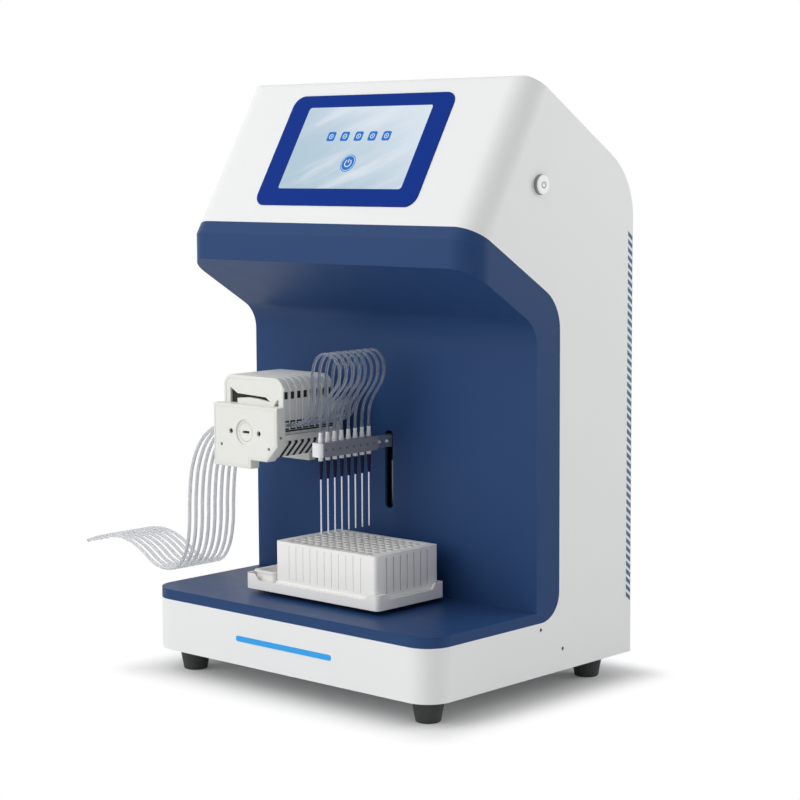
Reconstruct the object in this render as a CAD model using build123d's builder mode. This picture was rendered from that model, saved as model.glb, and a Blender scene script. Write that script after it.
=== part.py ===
from build123d import *
import os
from math import atan2, cos, degrees, pi, radians, sin, sqrt, tan

# Eight-channel liquid handling robot: a bench instrument with an open work bay, a peristaltic pump
# head that feeds eight needles, a needle arm that moves up and down, and a plate carrier that moves
# sideways under it. Millimetres, +Z up. The origin is on the bench under the middle of the base,
# X runs along the width and the bay opens towards -Y.

os.makedirs("parts", exist_ok=True)

# ------------------------------------------------------------------ driving sizes of the body
body_width = 354.0
body_depth = 280.0
foot_height = 22.0
skirt_height = 48.0  # white base below the deck
deck_height = 57.6
bay_depth = 141.1  # from the front edge of the deck to the wall of the bay
head_setback = 51.4  # the head stands back from the front of the deck
lip_height = 365.3  # lower front edge of the head
band_height = 24.7  # upright front of the head, below its slanted face
face_lean = 30.6  # degrees from upright
ridge_height = 531.0
roof_slope = 32.0
ceiling_slope = 31.4
face_band = 12.4  # coloured band on the slanted face
cheek_depth = 32.1  # coloured edge seen from the side
wall = 3.0
front_corner_radius = 25.0
head_corner_radius = 24.0
ceiling_radius = 30.0
roof_radius = 68.0
ridge_radius = 6.0
cheek_low_radius = 25.0
cheek_high_radius = 41.0
seat_gap = 0.2  # between a fitted plate and the shell round it

base_z = foot_height
skirt_z = base_z + skirt_height
deck_z = base_z + deck_height
front_y = -body_depth / 2
rear_y = body_depth / 2
wall_y = front_y + bay_depth
head_y = front_y + head_setback
lip_z = base_z + lip_height
bend_z = lip_z + band_height
ridge_z = base_z + ridge_height
lean = radians(face_lean)
ridge_y = head_y + (ridge_z - bend_z) * tan(lean)
ceiling_z = lip_z - (wall_y - head_y) * tan(radians(ceiling_slope))
roof_z = ridge_z - (rear_y - ridge_y) * tan(radians(roof_slope))
seam_y = head_y + face_band * sin(lean)
seam_z = bend_z + face_band * cos(lean)
cheek_y = wall_y + cheek_depth
cheek_z = seam_z - (cheek_y - seam_y) * tan(radians(ceiling_slope))
inside_x = body_width / 2 - wall
behind_wall_y = wall_y + wall
floor_thickness = 2.0
floor_z = base_z + floor_thickness

# ------------------------------------------------------------------ plate, needles and travels
channels = 8
needle_pitch = 9.0
needle_reach = 58.8  # from the wall to midway between the first and the last needle
plate_columns = 12
plate_height = 44.0
first_column = 14.38  # from the end of the plate to the middle of its first wells
first_row = 11.24  # from the side of the plate to the middle of its first wells
well_size = 8.2
well_depth = 41.5
carrier_lift = 4.6  # of the plate carrier over the deck
carrier_floor = 4.2
needle_clearance = 10.1  # from the rim of the plate up to the raised needles
needle_drop = 70.9  # from the needle block down to the tips
needle_travel = 50.0
needle_diameter = 1.6
arm_rise = 0.6  # of the arm's underside over the needle block's
arm_height = 11.0

middle_y = wall_y - needle_reach
plate_length = 2 * first_column + (plate_columns - 1) * needle_pitch
plate_width = 2 * first_row + (channels - 1) * needle_pitch
carrier_underside = deck_height + carrier_lift
plate_seat = carrier_underside + carrier_floor
needle_tip_height = plate_seat + plate_height + needle_clearance
block_low = needle_tip_height + needle_drop
arm_low = block_low + arm_rise
arm_high = arm_low + arm_height

# ------------------------------------------------------------------ pump head
cassette_pitch = 8.2
cassette_gap = 0.3
pump_x = -81.1
pump_height = 208.5  # axis of the rotor above the base
pump_reach = 107.4  # from the wall to the face of the front plate
pump_plate_thickness = 10.8
pump_plate_width = 84.5
roller_orbit = 17.0
roller_radius = 4.2
roller_count = 6
tube_squeeze = 2.8  # between the rollers and the bed that the tubes lie on
inlet_tube_diameter = 3.4
outlet_tube_diameter = 2.8

pump_z = base_z + pump_height
pump_front_y = wall_y - pump_reach
stack_front_y = pump_front_y + pump_plate_thickness
stack_depth = channels * cassette_pitch
stack_rear_y = stack_front_y + stack_depth
bed_radius = roller_orbit + roller_radius + tube_squeeze


def write_piece(builder, name):
    builder.part.label = name
    export_step(builder.part, f"parts/{name}.step")


def side_profile(points, rounds, inset=0.0):
    """Face in the YZ plane through the points, its listed corners rounded, then moved inwards."""
    with BuildSketch(Plane.YZ) as profile:
        with BuildLine():
            Polyline(*points, close=True)
        make_face()
        for y, z, radius in rounds:
            fillet(profile.vertices().sort_by_distance((y, z, 0))[0], radius)
        if inset:
            offset(amount=-inset, kind=Kind.INTERSECTION)
    return profile.sketch


def across(profile, width, mode=Mode.ADD):
    extrude(profile, amount=width / 2, both=True, mode=mode)


body_points = [
    (front_y, base_z),
    (front_y, deck_z),
    (wall_y, deck_z),
    (wall_y, ceiling_z),
    (head_y, lip_z),
    (head_y, bend_z),
    (ridge_y, ridge_z),
    (rear_y, roof_z),
    (rear_y, base_z),
]
body_rounds = [(wall_y, ceiling_z, ceiling_radius), (rear_y, roof_z, roof_radius)]
face_direction = Axis((0, head_y, bend_z), (0, sin(lean), cos(lean)))


def body_form(inset):
    """The whole body with its bay, moved inwards by inset on every side."""
    width = body_width - 2 * inset
    with BuildPart() as form:
        across(side_profile(body_points, body_rounds, inset), width)
        upright = form.edges().filter_by(Axis.Z)
        fillet(upright.filter_by_position(Axis.Y, front_y, front_y + inset + 1), front_corner_radius - inset)
        band = form.edges().filter_by(Axis.Z).filter_by_position(Axis.Y, head_y, head_y + inset + 1)
        fillet(band + form.edges().filter_by(face_direction), head_corner_radius - inset)
        rounded_ridge = body_rounds + [(ridge_y, ridge_z, ridge_radius)]
        across(side_profile(body_points, rounded_ridge, inset), width, Mode.INTERSECT)
    return form.part


# Shell of the whole body, open underneath; it is parted into the housing and the liner of the bay
with BuildPart() as body_shell:
    add(body_form(0))
    add(body_form(wall), mode=Mode.SUBTRACT)
    with BuildSketch(Plane.XY.offset(base_z - 1)) as underside:
        with Locations((0, (front_y + rear_y) / 2)):
            Rectangle(2 * inside_x, body_depth - 2 * wall)
        fillet(underside.vertices().group_by(Axis.Y)[0], front_corner_radius - wall)
    extrude(amount=wall + 2, mode=Mode.SUBTRACT)

parting_reach = 60.0
parting_y = head_y - parting_reach
parting_profile = side_profile(
    [
        (parting_y, base_z - 1),
        (parting_y, skirt_z),
        (cheek_y, skirt_z),
        (cheek_y, cheek_z),
        (parting_y, seam_z + (seam_y - parting_y) * tan(radians(ceiling_slope))),
        (parting_y, ridge_z + 1),
        (rear_y + 1, ridge_z + 1),
        (rear_y + 1, base_z - 1),
    ],
    [(cheek_y, skirt_z, cheek_low_radius), (cheek_y, cheek_z, cheek_high_radius)],
)

# ------------------------------------------------------------------ white housing
bezel_width = 200.0
bezel_height = 116.0
bezel_radius = 12.0
bezel_centre = 88.4  # up the slanted face from its lower edge
bezel_thickness = 3.0
bezel_proud = 0.8
display_width = 154.0
display_height = 86.0
display_centre = 90.8
module_margin = 6.0  # the display's frame round its glass
module_depth = 8.0
face_plane = Plane(origin=(0, head_y, bend_z), x_dir=(1, 0, 0), z_dir=(0, -cos(lean), sin(lean)))

light_bar_length = 121.0
light_bar_height = 5.0
light_bar_level = 24.4
light_bar_margin = 5.0
button_diameter = 17.0
button_y = 5.0
button_level = 435.0
button_proud = 4.0
button_travel = 2.0
button_clearance = 0.3
vent_pitch = 7.26
vent_opening = 4.5
vent_depth = 7.5
vent_drop = 6.75
vent_low = 53.3
panel_margin = 7.6  # from the rear panel up to the bend of the roof
roof_bend_z = roof_z - roof_radius / tan(radians(90 + roof_slope) / 2)
panel_top = roof_bend_z - base_z - panel_margin
vent_count = int((panel_top - vent_low) / vent_pitch)
side_screw_places = [(7.3, 41.9), (38.5, 20.0)]
side_screw_diameter = 3.2

with BuildPart() as main_housing:
    add(body_shell.part)
    across(parting_profile, body_width + 2, Mode.INTERSECT)
    # opening for the rear panel
    with BuildSketch(Plane.XZ.offset(-rear_y - 1)):
        with Locations((0, (base_z + base_z + panel_top) / 2)):
            Rectangle(2 * inside_x, panel_top)
    extrude(amount=wall + 1, mode=Mode.SUBTRACT)
    # seat and window for the screen
    with BuildSketch(face_plane):
        with Locations((0, bezel_centre)):
            RectangleRounded(bezel_width + 2 * seat_gap, bezel_height + 2 * seat_gap, bezel_radius)
    extrude(amount=-(bezel_thickness - bezel_proud) / 2, mode=Mode.SUBTRACT)
    with BuildSketch(face_plane):
        with Locations((0, display_centre)):
            Rectangle(display_width + 3 * module_margin, display_height + 3 * module_margin)
    extrude(amount=-2 * wall, mode=Mode.SUBTRACT)
    # slot for the light bar
    with BuildSketch(Plane.XZ.offset(-front_y)):
        with Locations((0, base_z + light_bar_level)):
            SlotOverall(light_bar_length + 2 * seat_gap, light_bar_height + 2 * seat_gap)
    extrude(amount=-2 * wall, mode=Mode.SUBTRACT)
    # hole for the power button and for the side screws
    with BuildSketch(Plane.YZ.offset(inside_x - 1)):
        with Locations((button_y, base_z + button_level)):
            Circle(button_diameter / 2 + button_clearance)
    extrude(amount=wall + 2, mode=Mode.SUBTRACT)
    with BuildSketch(Plane.YZ):
        with Locations(*[(y, base_z + z) for y, z in side_screw_places]):
            Circle(side_screw_diameter / 2 + seat_gap / 2)
    extrude(amount=body_width, both=True, mode=Mode.SUBTRACT)
    # row of slanting vents along each rear edge
    vent_outline = [
        (-vent_depth, 0),
        (1, -vent_drop),
        (1, vent_opening - vent_drop),
        (-vent_depth, vent_opening),
    ]
    with BuildSketch(Plane.YZ):
        with Locations(*[(rear_y, base_z + vent_low + i * vent_pitch) for i in range(vent_count)]):
            Polygon(*vent_outline, align=None)
    extrude(amount=body_width, both=True, mode=Mode.SUBTRACT)
write_piece(main_housing, "main_housing")

# ------------------------------------------------------------------ blue liner of the bay
slot_width = 10.0
slot_low = arm_low - needle_travel - 9.0
slot_high = arm_high + 4.0
deck_slot_width = 14.0
deck_slot_clearance = 3.0
post_length = 20.0
column_under_needles = 5
trough_width = 28.0
trough_gap = 3.1  # between the trough and the plate
trough_margin = 5.5  # from the trough to the end of the carrier
carrier_end = 3.6  # from the plate to the other end of the carrier

column_x = [(i - column_under_needles + 1) * needle_pitch for i in range(plate_columns)]
plate_left = column_x[0] - first_column
plate_x = plate_left + plate_length / 2
trough_x = plate_left - trough_gap - trough_width / 2
carrier_left = trough_x - trough_width / 2 - trough_margin
carrier_right = plate_left + plate_length + carrier_end
post_x = (carrier_left + carrier_right) / 2
carrier_travel_left = column_x[-1]
carrier_travel_right = -trough_x
shaft_hole_radius = 14.0

with BuildPart() as work_liner:
    add(body_shell.part)
    across(parting_profile, body_width + 2, Mode.SUBTRACT)
    # slot that the needle arm comes out of
    with BuildSketch(Plane.XZ.offset(-wall_y + 1)):
        with Locations((0, base_z + (slot_low + slot_high) / 2)):
            SlotOverall(slot_high - slot_low, slot_width, rotation=90)
    extrude(amount=-wall - 2, mode=Mode.SUBTRACT)
    # hole for the pump shaft
    with BuildSketch(Plane.XZ.offset(-wall_y + 1)):
        with Locations((pump_x, pump_z)):
            Circle(shaft_hole_radius)
    extrude(amount=-wall - 2, mode=Mode.SUBTRACT)
    # slot in the deck for the post that carries the plate carrier
    deck_slot_left = post_x - carrier_travel_left - post_length / 2 - deck_slot_clearance
    deck_slot_right = post_x + carrier_travel_right + post_length / 2 + deck_slot_clearance
    with BuildSketch(Plane.XY.offset(deck_z + 1)):
        with Locations(((deck_slot_left + deck_slot_right) / 2, middle_y)):
            Rectangle(deck_slot_right - deck_slot_left, deck_slot_width)
    extrude(amount=-wall - 2, mode=Mode.SUBTRACT)
write_piece(work_liner, "work_liner")

# ------------------------------------------------------------------ bottom plate and feet
foot_inset_x = 28.8
foot_inset_y = 29.2
foot_top_diameter = 30.0
foot_bottom_diameter = 22.0
foot_edge = 1.5
foot_screw_diameter = 5.0
foot_screw_recess = 10.0

foot_x = body_width / 2 - foot_inset_x
foot_y = body_depth / 2 - foot_inset_y

with BuildPart() as bottom_plate:
    with BuildSketch(Plane.XY.offset(base_z)):
        Rectangle(2 * (inside_x - seat_gap), body_depth - 2 * (wall + seat_gap))
    extrude(amount=floor_thickness)
    fillet(
        bottom_plate.edges().filter_by(Axis.Z).group_by(Axis.Y)[0],
        front_corner_radius - wall - seat_gap,
    )
write_piece(bottom_plate, "bottom_plate")

with BuildPart() as rubber_feet:
    with Locations((0, 0, foot_height / 2)):
        with GridLocations(2 * foot_x, 2 * foot_y, 2, 2):
            Cone(foot_bottom_diameter / 2, foot_top_diameter / 2, foot_height)
    fillet(rubber_feet.edges().group_by(Axis.Z)[0], foot_edge)
    with Locations((0, 0, foot_screw_recess / 2)):
        with GridLocations(2 * foot_x, 2 * foot_y, 2, 2):
            Cylinder(foot_screw_diameter / 2, foot_screw_recess, mode=Mode.SUBTRACT)
write_piece(rubber_feet, "rubber_feet")

# ------------------------------------------------------------------ rear panel and what it carries
panel_thickness = 2.0
panel_recess = 0.5
panel_flange = 12.0
fan_x = 85.0
fan_level = 320.0
fan_size = 60.0
fan_depth = 20.0
fan_blades = 7
fan_slot_height = 4.0
fan_slot_pitch = 8.0
fan_slot_count = 7
fan_slot_margin = 2.0
inlet_x = -110.0
inlet_level = 34.0
inlet_opening_width = 28.0
inlet_opening_height = 31.0
rocker_x = -70.0
rocker_opening_width = 13.0
rocker_opening_height = 19.0
louvre_length = 70.0
louvre_height = 4.0
louvre_pitch = 9.0
louvre_count = 9
louvre_x = -85.0
louvre_level = 250.0

panel_rear_y = rear_y - panel_recess
panel_front_y = panel_rear_y - panel_thickness
panel_half = inside_x - seat_gap
fan_z = base_z + fan_level

with BuildPart() as rear_panel:
    panel_low = floor_z + seat_gap
    panel_high = base_z + panel_top - seat_gap
    with BuildSketch(Plane.XY.offset(panel_low)):
        with BuildLine():
            Polyline(
                (-panel_half, panel_front_y - panel_flange),
                (-panel_half, panel_rear_y),
                (panel_half, panel_rear_y),
                (panel_half, panel_front_y - panel_flange),
                (panel_half - panel_thickness, panel_front_y - panel_flange),
                (panel_half - panel_thickness, panel_front_y),
                (-panel_half + panel_thickness, panel_front_y),
                (-panel_half + panel_thickness, panel_front_y - panel_flange),
                close=True,
            )
        make_face()
    extrude(amount=panel_high - panel_low)
    # air slots over the fan, cut to the circle of its blades
    fan_circle = fan_size / 2 - fan_slot_margin
    slot_levels = [(i - (fan_slot_count - 1) / 2) * fan_slot_pitch for i in range(fan_slot_count)]
    with BuildSketch(Plane.XZ.offset(-panel_rear_y - 1)):
        for level in slot_levels:
            chord = 2 * sqrt(fan_circle**2 - (abs(level) + fan_slot_height / 2) ** 2)
            with Locations((fan_x, fan_z + level)):
                SlotOverall(chord + fan_slot_height, fan_slot_height)
        for i in range(louvre_count):
            with Locations((louvre_x, base_z + louvre_level + i * louvre_pitch)):
                SlotOverall(louvre_length, louvre_height)
        with Locations((inlet_x, base_z + inlet_level)):
            Rectangle(inlet_opening_width, inlet_opening_height)
        with Locations((rocker_x, base_z + inlet_level)):
            Rectangle(rocker_opening_width, rocker_opening_height)
    extrude(amount=panel_thickness + 2, mode=Mode.SUBTRACT)
write_piece(rear_panel, "rear_panel")

inlet_flange_width = 50.0
inlet_flange_height = 34.0
inlet_flange = 2.5
inlet_body_depth = 24.0
socket_width = 24.5
socket_height = 16.5
socket_depth = 17.0
pin_width = 2.0
pin_height = 5.0
pin_spacing = 7.0

with BuildPart() as mains_inlet:
    # flange on the outside of the panel, body through it
    with BuildSketch(Plane.XZ.offset(-panel_rear_y)):
        with Locations((inlet_x, base_z + inlet_level)):
            RectangleRounded(inlet_flange_width, inlet_flange_height, 4)
    extrude(amount=-inlet_flange)
    with BuildSketch(Plane.XZ.offset(-panel_rear_y)):
        with Locations((inlet_x, base_z + inlet_level)):
            Rectangle(inlet_opening_width - seat_gap, inlet_opening_height - seat_gap)
    extrude(amount=inlet_body_depth)
    with BuildSketch(Plane.XZ.offset(-panel_rear_y - inlet_flange)):
        with Locations((inlet_x, base_z + inlet_level)):
            Rectangle(socket_width, socket_height)
    extrude(amount=socket_depth, mode=Mode.SUBTRACT)
    with BuildSketch(Plane.XZ.offset(-panel_rear_y - inlet_flange + socket_depth)):
        with Locations((inlet_x, base_z + inlet_level + 2)):
            Rectangle(pin_width, pin_height)
        with Locations((inlet_x, base_z + inlet_level - 2)):
            with GridLocations(2 * pin_spacing, 0, 2, 1):
                Rectangle(pin_width, pin_height)
    extrude(amount=-socket_depth + 2)
write_piece(mains_inlet, "mains_inlet")

rocker_width = 15.0
rocker_height = 21.0
rocker_flange = 1.5
rocker_body_depth = 16.0
rocker_cap_width = 10.0
rocker_cap_height = 15.0
rocker_pivot_depth = 3.0
rocker_rise = 2.0
rocker_play = 0.5
rocker_pin_radius = 1.2
rocker_pin_grip = 0.5
rocker_pin_play = 0.15

rocker_z = base_z + inlet_level
rocker_pivot_y = panel_rear_y + rocker_flange - rocker_pivot_depth
rocker_pin_reach = rocker_cap_width / 2 + rocker_play + rocker_pin_grip
with BuildPart() as switch_frame:
    with BuildSketch(Plane.XZ.offset(-panel_rear_y)):
        with Locations((rocker_x, rocker_z)):
            Rectangle(rocker_width, rocker_height)
    extrude(amount=-rocker_flange)
    with BuildSketch(Plane.XZ.offset(-panel_rear_y)):
        with Locations((rocker_x, rocker_z)):
            Rectangle(rocker_opening_width - seat_gap, rocker_opening_height - seat_gap)
    extrude(amount=rocker_body_depth)
    with BuildSketch(Plane.XZ.offset(-panel_rear_y - rocker_flange)):
        with Locations((rocker_x, rocker_z)):
            Rectangle(rocker_cap_width + 2 * rocker_play, rocker_cap_height + 2 * rocker_play)
    extrude(amount=rocker_body_depth / 2, mode=Mode.SUBTRACT)
    # blind holes for the pins of the rocker
    with BuildSketch(Plane.YZ.offset(rocker_x - rocker_pin_reach - rocker_pin_play)):
        with Locations((rocker_pivot_y, rocker_z)):
            Circle(rocker_pin_radius + rocker_pin_play)
    extrude(amount=2 * (rocker_pin_reach + rocker_pin_play), mode=Mode.SUBTRACT)
write_piece(switch_frame, "switch_frame")

# Rocker tilted to its off position: a cap with two faces on pins across the switch
with BuildPart() as power_rocker:
    with BuildSketch(Plane.YZ.offset(rocker_x - rocker_cap_width / 2)):
        with BuildLine():
            Polyline(
                (rocker_pivot_y - rocker_pivot_depth, rocker_z),
                (rocker_pivot_y, rocker_z - rocker_cap_height / 2),
                (rocker_pivot_y + rocker_pivot_depth + rocker_rise, rocker_z - rocker_cap_height / 2),
                (rocker_pivot_y + rocker_pivot_depth - rocker_rise / 2, rocker_z),
                (rocker_pivot_y + rocker_pivot_depth - rocker_rise / 2, rocker_z + rocker_cap_height / 2),
                (rocker_pivot_y, rocker_z + rocker_cap_height / 2),
                close=True,
            )
        make_face()
    extrude(amount=rocker_cap_width)
    with BuildSketch(Plane.YZ.offset(rocker_x - rocker_pin_reach)):
        with Locations((rocker_pivot_y, rocker_z)):
            Circle(rocker_pin_radius)
    extrude(amount=2 * rocker_pin_reach)
write_piece(power_rocker, "power_rocker")

# ------------------------------------------------------------------ cooling fan
fan_frame_wall = 2.0
fan_hub_radius = 13.0
fan_tip_gap = 1.0
fan_strut_width = 3.0
fan_motor_radius = 11.0
fan_motor_depth = 4.0
blade_thickness = 1.6
blade_pitch_angle = 38.0
fan_screw_inset = 5.0
fan_screw_radius = 2.2
rotor_play = 0.5
rotor_recess = 1.0

fan_rear_y = panel_front_y
fan_axis_plane = Plane.XZ.offset(-fan_rear_y)
with BuildPart() as fan_frame:
    with BuildSketch(fan_axis_plane):
        with Locations((fan_x, fan_z)):
            RectangleRounded(fan_size, fan_size, 3)
            Circle(fan_size / 2 - fan_frame_wall, mode=Mode.SUBTRACT)
            with GridLocations(fan_size - 2 * fan_screw_inset, fan_size - 2 * fan_screw_inset, 2, 2):
                Circle(fan_screw_radius, mode=Mode.SUBTRACT)
    extrude(amount=fan_depth)
    with BuildSketch(fan_axis_plane.offset(fan_depth)):
        with Locations((fan_x, fan_z)):
            Circle(fan_motor_radius)
            Rectangle(fan_size - fan_frame_wall, fan_strut_width)
            Rectangle(fan_strut_width, fan_size - fan_frame_wall)
    extrude(amount=-fan_motor_depth)
write_piece(fan_frame, "fan_frame")

blade_reach = fan_size / 2 - fan_frame_wall - fan_tip_gap
blade_root = fan_hub_radius - blade_thickness
blade_width = 0.9 * (fan_depth - fan_motor_depth)
with BuildPart() as fan_rotor:
    with BuildSketch(fan_axis_plane.offset(rotor_play + rotor_recess)):
        with Locations((fan_x, fan_z)):
            Circle(fan_hub_radius)
    extrude(amount=fan_depth - fan_motor_depth - 2 * rotor_play - rotor_recess)
    for i in range(fan_blades):
        middle = (fan_x, fan_rear_y - fan_depth / 2 + rotor_recess, fan_z)
        turn = Location(middle, (0, i * 360 / fan_blades, 0))
        with Locations(turn * Location(((blade_root + blade_reach) / 2, 0, 0), (blade_pitch_angle, 0, 0))):
            Box(blade_reach - blade_root, blade_thickness, blade_width)
write_piece(fan_rotor, "fan_rotor")

# ------------------------------------------------------------------ screen, light bar, power button
with BuildPart() as screen_bezel:
    with BuildSketch(face_plane.offset(bezel_proud)):
        with Locations((0, bezel_centre)):
            RectangleRounded(bezel_width, bezel_height, bezel_radius)
        with Locations((0, display_centre)):
            RectangleRounded(display_width + seat_gap, display_height + seat_gap, 3, mode=Mode.SUBTRACT)
    extrude(amount=-(bezel_thickness - bezel_proud) / 2 - bezel_proud)
write_piece(screen_bezel, "screen_bezel")

glass_recess = 0.6
bezel_back = -(bezel_thickness - bezel_proud) / 2
with BuildPart() as display_panel:
    with BuildSketch(face_plane.offset(bezel_proud - glass_recess)):
        with Locations((0, display_centre)):
            RectangleRounded(display_width, display_height, 3)
    extrude(amount=-(bezel_proud - glass_recess - bezel_back))
    with BuildSketch(face_plane.offset(bezel_back)):
        with Locations((0, display_centre)):
            Rectangle(display_width + 2 * module_margin, display_height + 2 * module_margin)
    extrude(amount=-module_depth)
write_piece(display_panel, "display_panel")

with BuildPart() as light_bar:
    with BuildSketch(Plane.XZ.offset(-front_y + seat_gap)):
        with Locations((0, base_z + light_bar_level)):
            SlotOverall(light_bar_length, light_bar_height)
    extrude(amount=-wall - seat_gap)
    with BuildSketch(Plane.XZ.offset(-front_y - wall)):
        with Locations((0, base_z + light_bar_level)):
            Rectangle(light_bar_length + 2 * light_bar_margin, light_bar_height + 2 * light_bar_margin)
    extrude(amount=-wall)
write_piece(light_bar, "light_bar")

button_flange = 2.0
button_flange_diameter = 20.0
button_edge = 1.2
button_z = base_z + button_level
switch_outer_diameter = 26.0
switch_length = 22.0
button_side = Plane.YZ.offset(inside_x)
with BuildPart() as power_button:
    with BuildSketch(button_side.offset(wall + button_proud)):
        with Locations((button_y, button_z)):
            Circle(button_diameter / 2)
    extrude(amount=-(wall + button_proud + button_clearance + button_flange))
    with BuildSketch(button_side.offset(-button_clearance)):
        with Locations((button_y, button_z)):
            Circle(button_flange_diameter / 2)
    extrude(amount=-button_flange)
    fillet(power_button.edges().filter_by(GeomType.CIRCLE).sort_by(Axis.X)[-1], button_edge)
write_piece(power_button, "power_button")

with BuildPart() as power_switch:
    with BuildSketch(button_side):
        with Locations((button_y, button_z)):
            Circle(switch_outer_diameter / 2)
    extrude(amount=-switch_length)
    with BuildSketch(button_side):
        with Locations((button_y, button_z)):
            Circle(button_flange_diameter / 2 + button_clearance)
    extrude(amount=-(button_flange + 2 * button_clearance + button_travel), mode=Mode.SUBTRACT)
write_piece(power_switch, "power_switch")

side_screw_length = 9.0
side_screw_recess = 0.4
with BuildPart() as side_screws:
    for side in (-1, 1):
        with BuildSketch(Plane.YZ.offset(side * (body_width / 2 - side_screw_recess))):
            with Locations(*[(y, base_z + z) for y, z in side_screw_places]):
                Circle(side_screw_diameter / 2)
        extrude(amount=-side * side_screw_length)
write_piece(side_screws, "side_screws")

# ------------------------------------------------------------------ needle arm
block_width = 14.0
block_height = 12.6
block_front_margin = 6.5
block_rear_margin = 4.9
block_corner = 5.0
arm_thickness = 8.0
sleeve_length = 9.3
sleeve_radius = 1.75
sleeve_foot_radius = 2.35
sleeve_foot = 5.0
sleeve_taper = 5.0
collar_radius = 2.2
collar_length = 3.9
hub_top_radius = 2.05
hub_low_radius = 1.4
hub_length = 16.9
needle_grip = 12.0
bore_play = 0.05

block_high = block_low + block_height
sleeve_top = block_high + sleeve_length
collar_low = block_low - collar_length
hub_low = collar_low - hub_length
first_needle_y = middle_y - needle_pitch * (channels - 1) / 2
block_front_y = first_needle_y - block_front_margin
block_rear_y = first_needle_y + (channels - 1) * needle_pitch + block_rear_margin
needle_places = [(0, first_needle_y + i * needle_pitch) for i in range(channels)]

with BuildPart() as needle_block:
    with BuildSketch(Plane.XY.offset(base_z + block_low)):
        with Locations((0, (block_front_y + block_rear_y) / 2)):
            Rectangle(block_width, block_rear_y - block_front_y)
    extrude(amount=block_high - block_low)
    fillet(needle_block.edges().filter_by(Axis.Z).group_by(Axis.Y)[0], block_corner)
    with BuildSketch(Plane.XY.offset(base_z + block_low)):
        with Locations(*needle_places):
            Circle(sleeve_radius + bore_play)
    extrude(amount=block_high - block_low, mode=Mode.SUBTRACT)
write_piece(needle_block, "needle_block")

with BuildPart() as tube_sleeves:
    for place in needle_places:
        with BuildSketch(Plane.XY.offset(base_z + block_low)):
            with Locations(place):
                Circle(sleeve_radius)
        extrude(amount=sleeve_top - block_low)
        with BuildSketch(Plane.XY.offset(base_z + block_high)):
            with Locations(place):
                Circle(sleeve_foot_radius)
        extrude(amount=sleeve_foot, taper=sleeve_taper)
        with BuildSketch(Plane.XY.offset(base_z + collar_low)):
            with Locations(place):
                Circle(collar_radius)
        extrude(amount=block_low - collar_low)
write_piece(tube_sleeves, "tube_sleeves")

hub_taper = degrees(atan2(hub_top_radius - hub_low_radius, collar_low - hub_low))
with BuildPart() as needle_hubs:
    with BuildSketch(Plane.XY.offset(base_z + collar_low)):
        with Locations(*needle_places):
            Circle(hub_top_radius)
    extrude(amount=-(collar_low - hub_low), taper=hub_taper)
    with BuildSketch(Plane.XY.offset(base_z + hub_low)):
        with Locations(*needle_places):
            Circle(needle_diameter / 2 + bore_play)
    extrude(amount=needle_grip, mode=Mode.SUBTRACT)
write_piece(needle_hubs, "needle_hubs")

with BuildPart() as needles:
    with BuildSketch(Plane.XY.offset(base_z + needle_tip_height)):
        with Locations(*needle_places):
            Circle(needle_diameter / 2)
    extrude(amount=hub_low + needle_grip - needle_tip_height)
write_piece(needles, "needles")

# ------------------------------------------------------------------ vertical axis behind the wall
frame_thickness = 6.0
frame_setback = 39.9  # from the wall to the plate that carries the rail
frame_lip = 7.9  # between the wall and the lower shelf
frame_width = 90.0
frame_top = 268.0
frame_foot_depth = 46.0
lower_shelf = 96.0
rail_width = 12.0
rail_height = 8.0
z_rail_x = 14.0
z_rail_low = 108.0
z_rail_high = 256.0
runner_width = 27.0
runner_length = 45.4
runner_height = 13.0
runner_play = 0.3
screw_diameter = 8.0
screw_play = 0.3
rail_groove_height = 2.4
rail_groove_depth = 1.5
window_margin = 20.0
window_corner = 6.0
z_screw_x = -20.0
z_screw_setback = 23.9
screw_collar = 3.0
screw_collar_length = 4.0
screw_top = 8.0  # how far the screw reaches into its motor
motor_size = 42.3
motor_length = 40.0
motor_boss_radius = 11.0
motor_boss_height = 2.0
motor_corner = 4.0
motor_bore_depth = 12.0
carriage_thickness = 7.0

frame_front_y = behind_wall_y + frame_setback
shelf_front_y = behind_wall_y + frame_lip
z_screw_y = behind_wall_y + z_screw_setback
rest_arm_middle = (arm_low + arm_high) / 2

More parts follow.
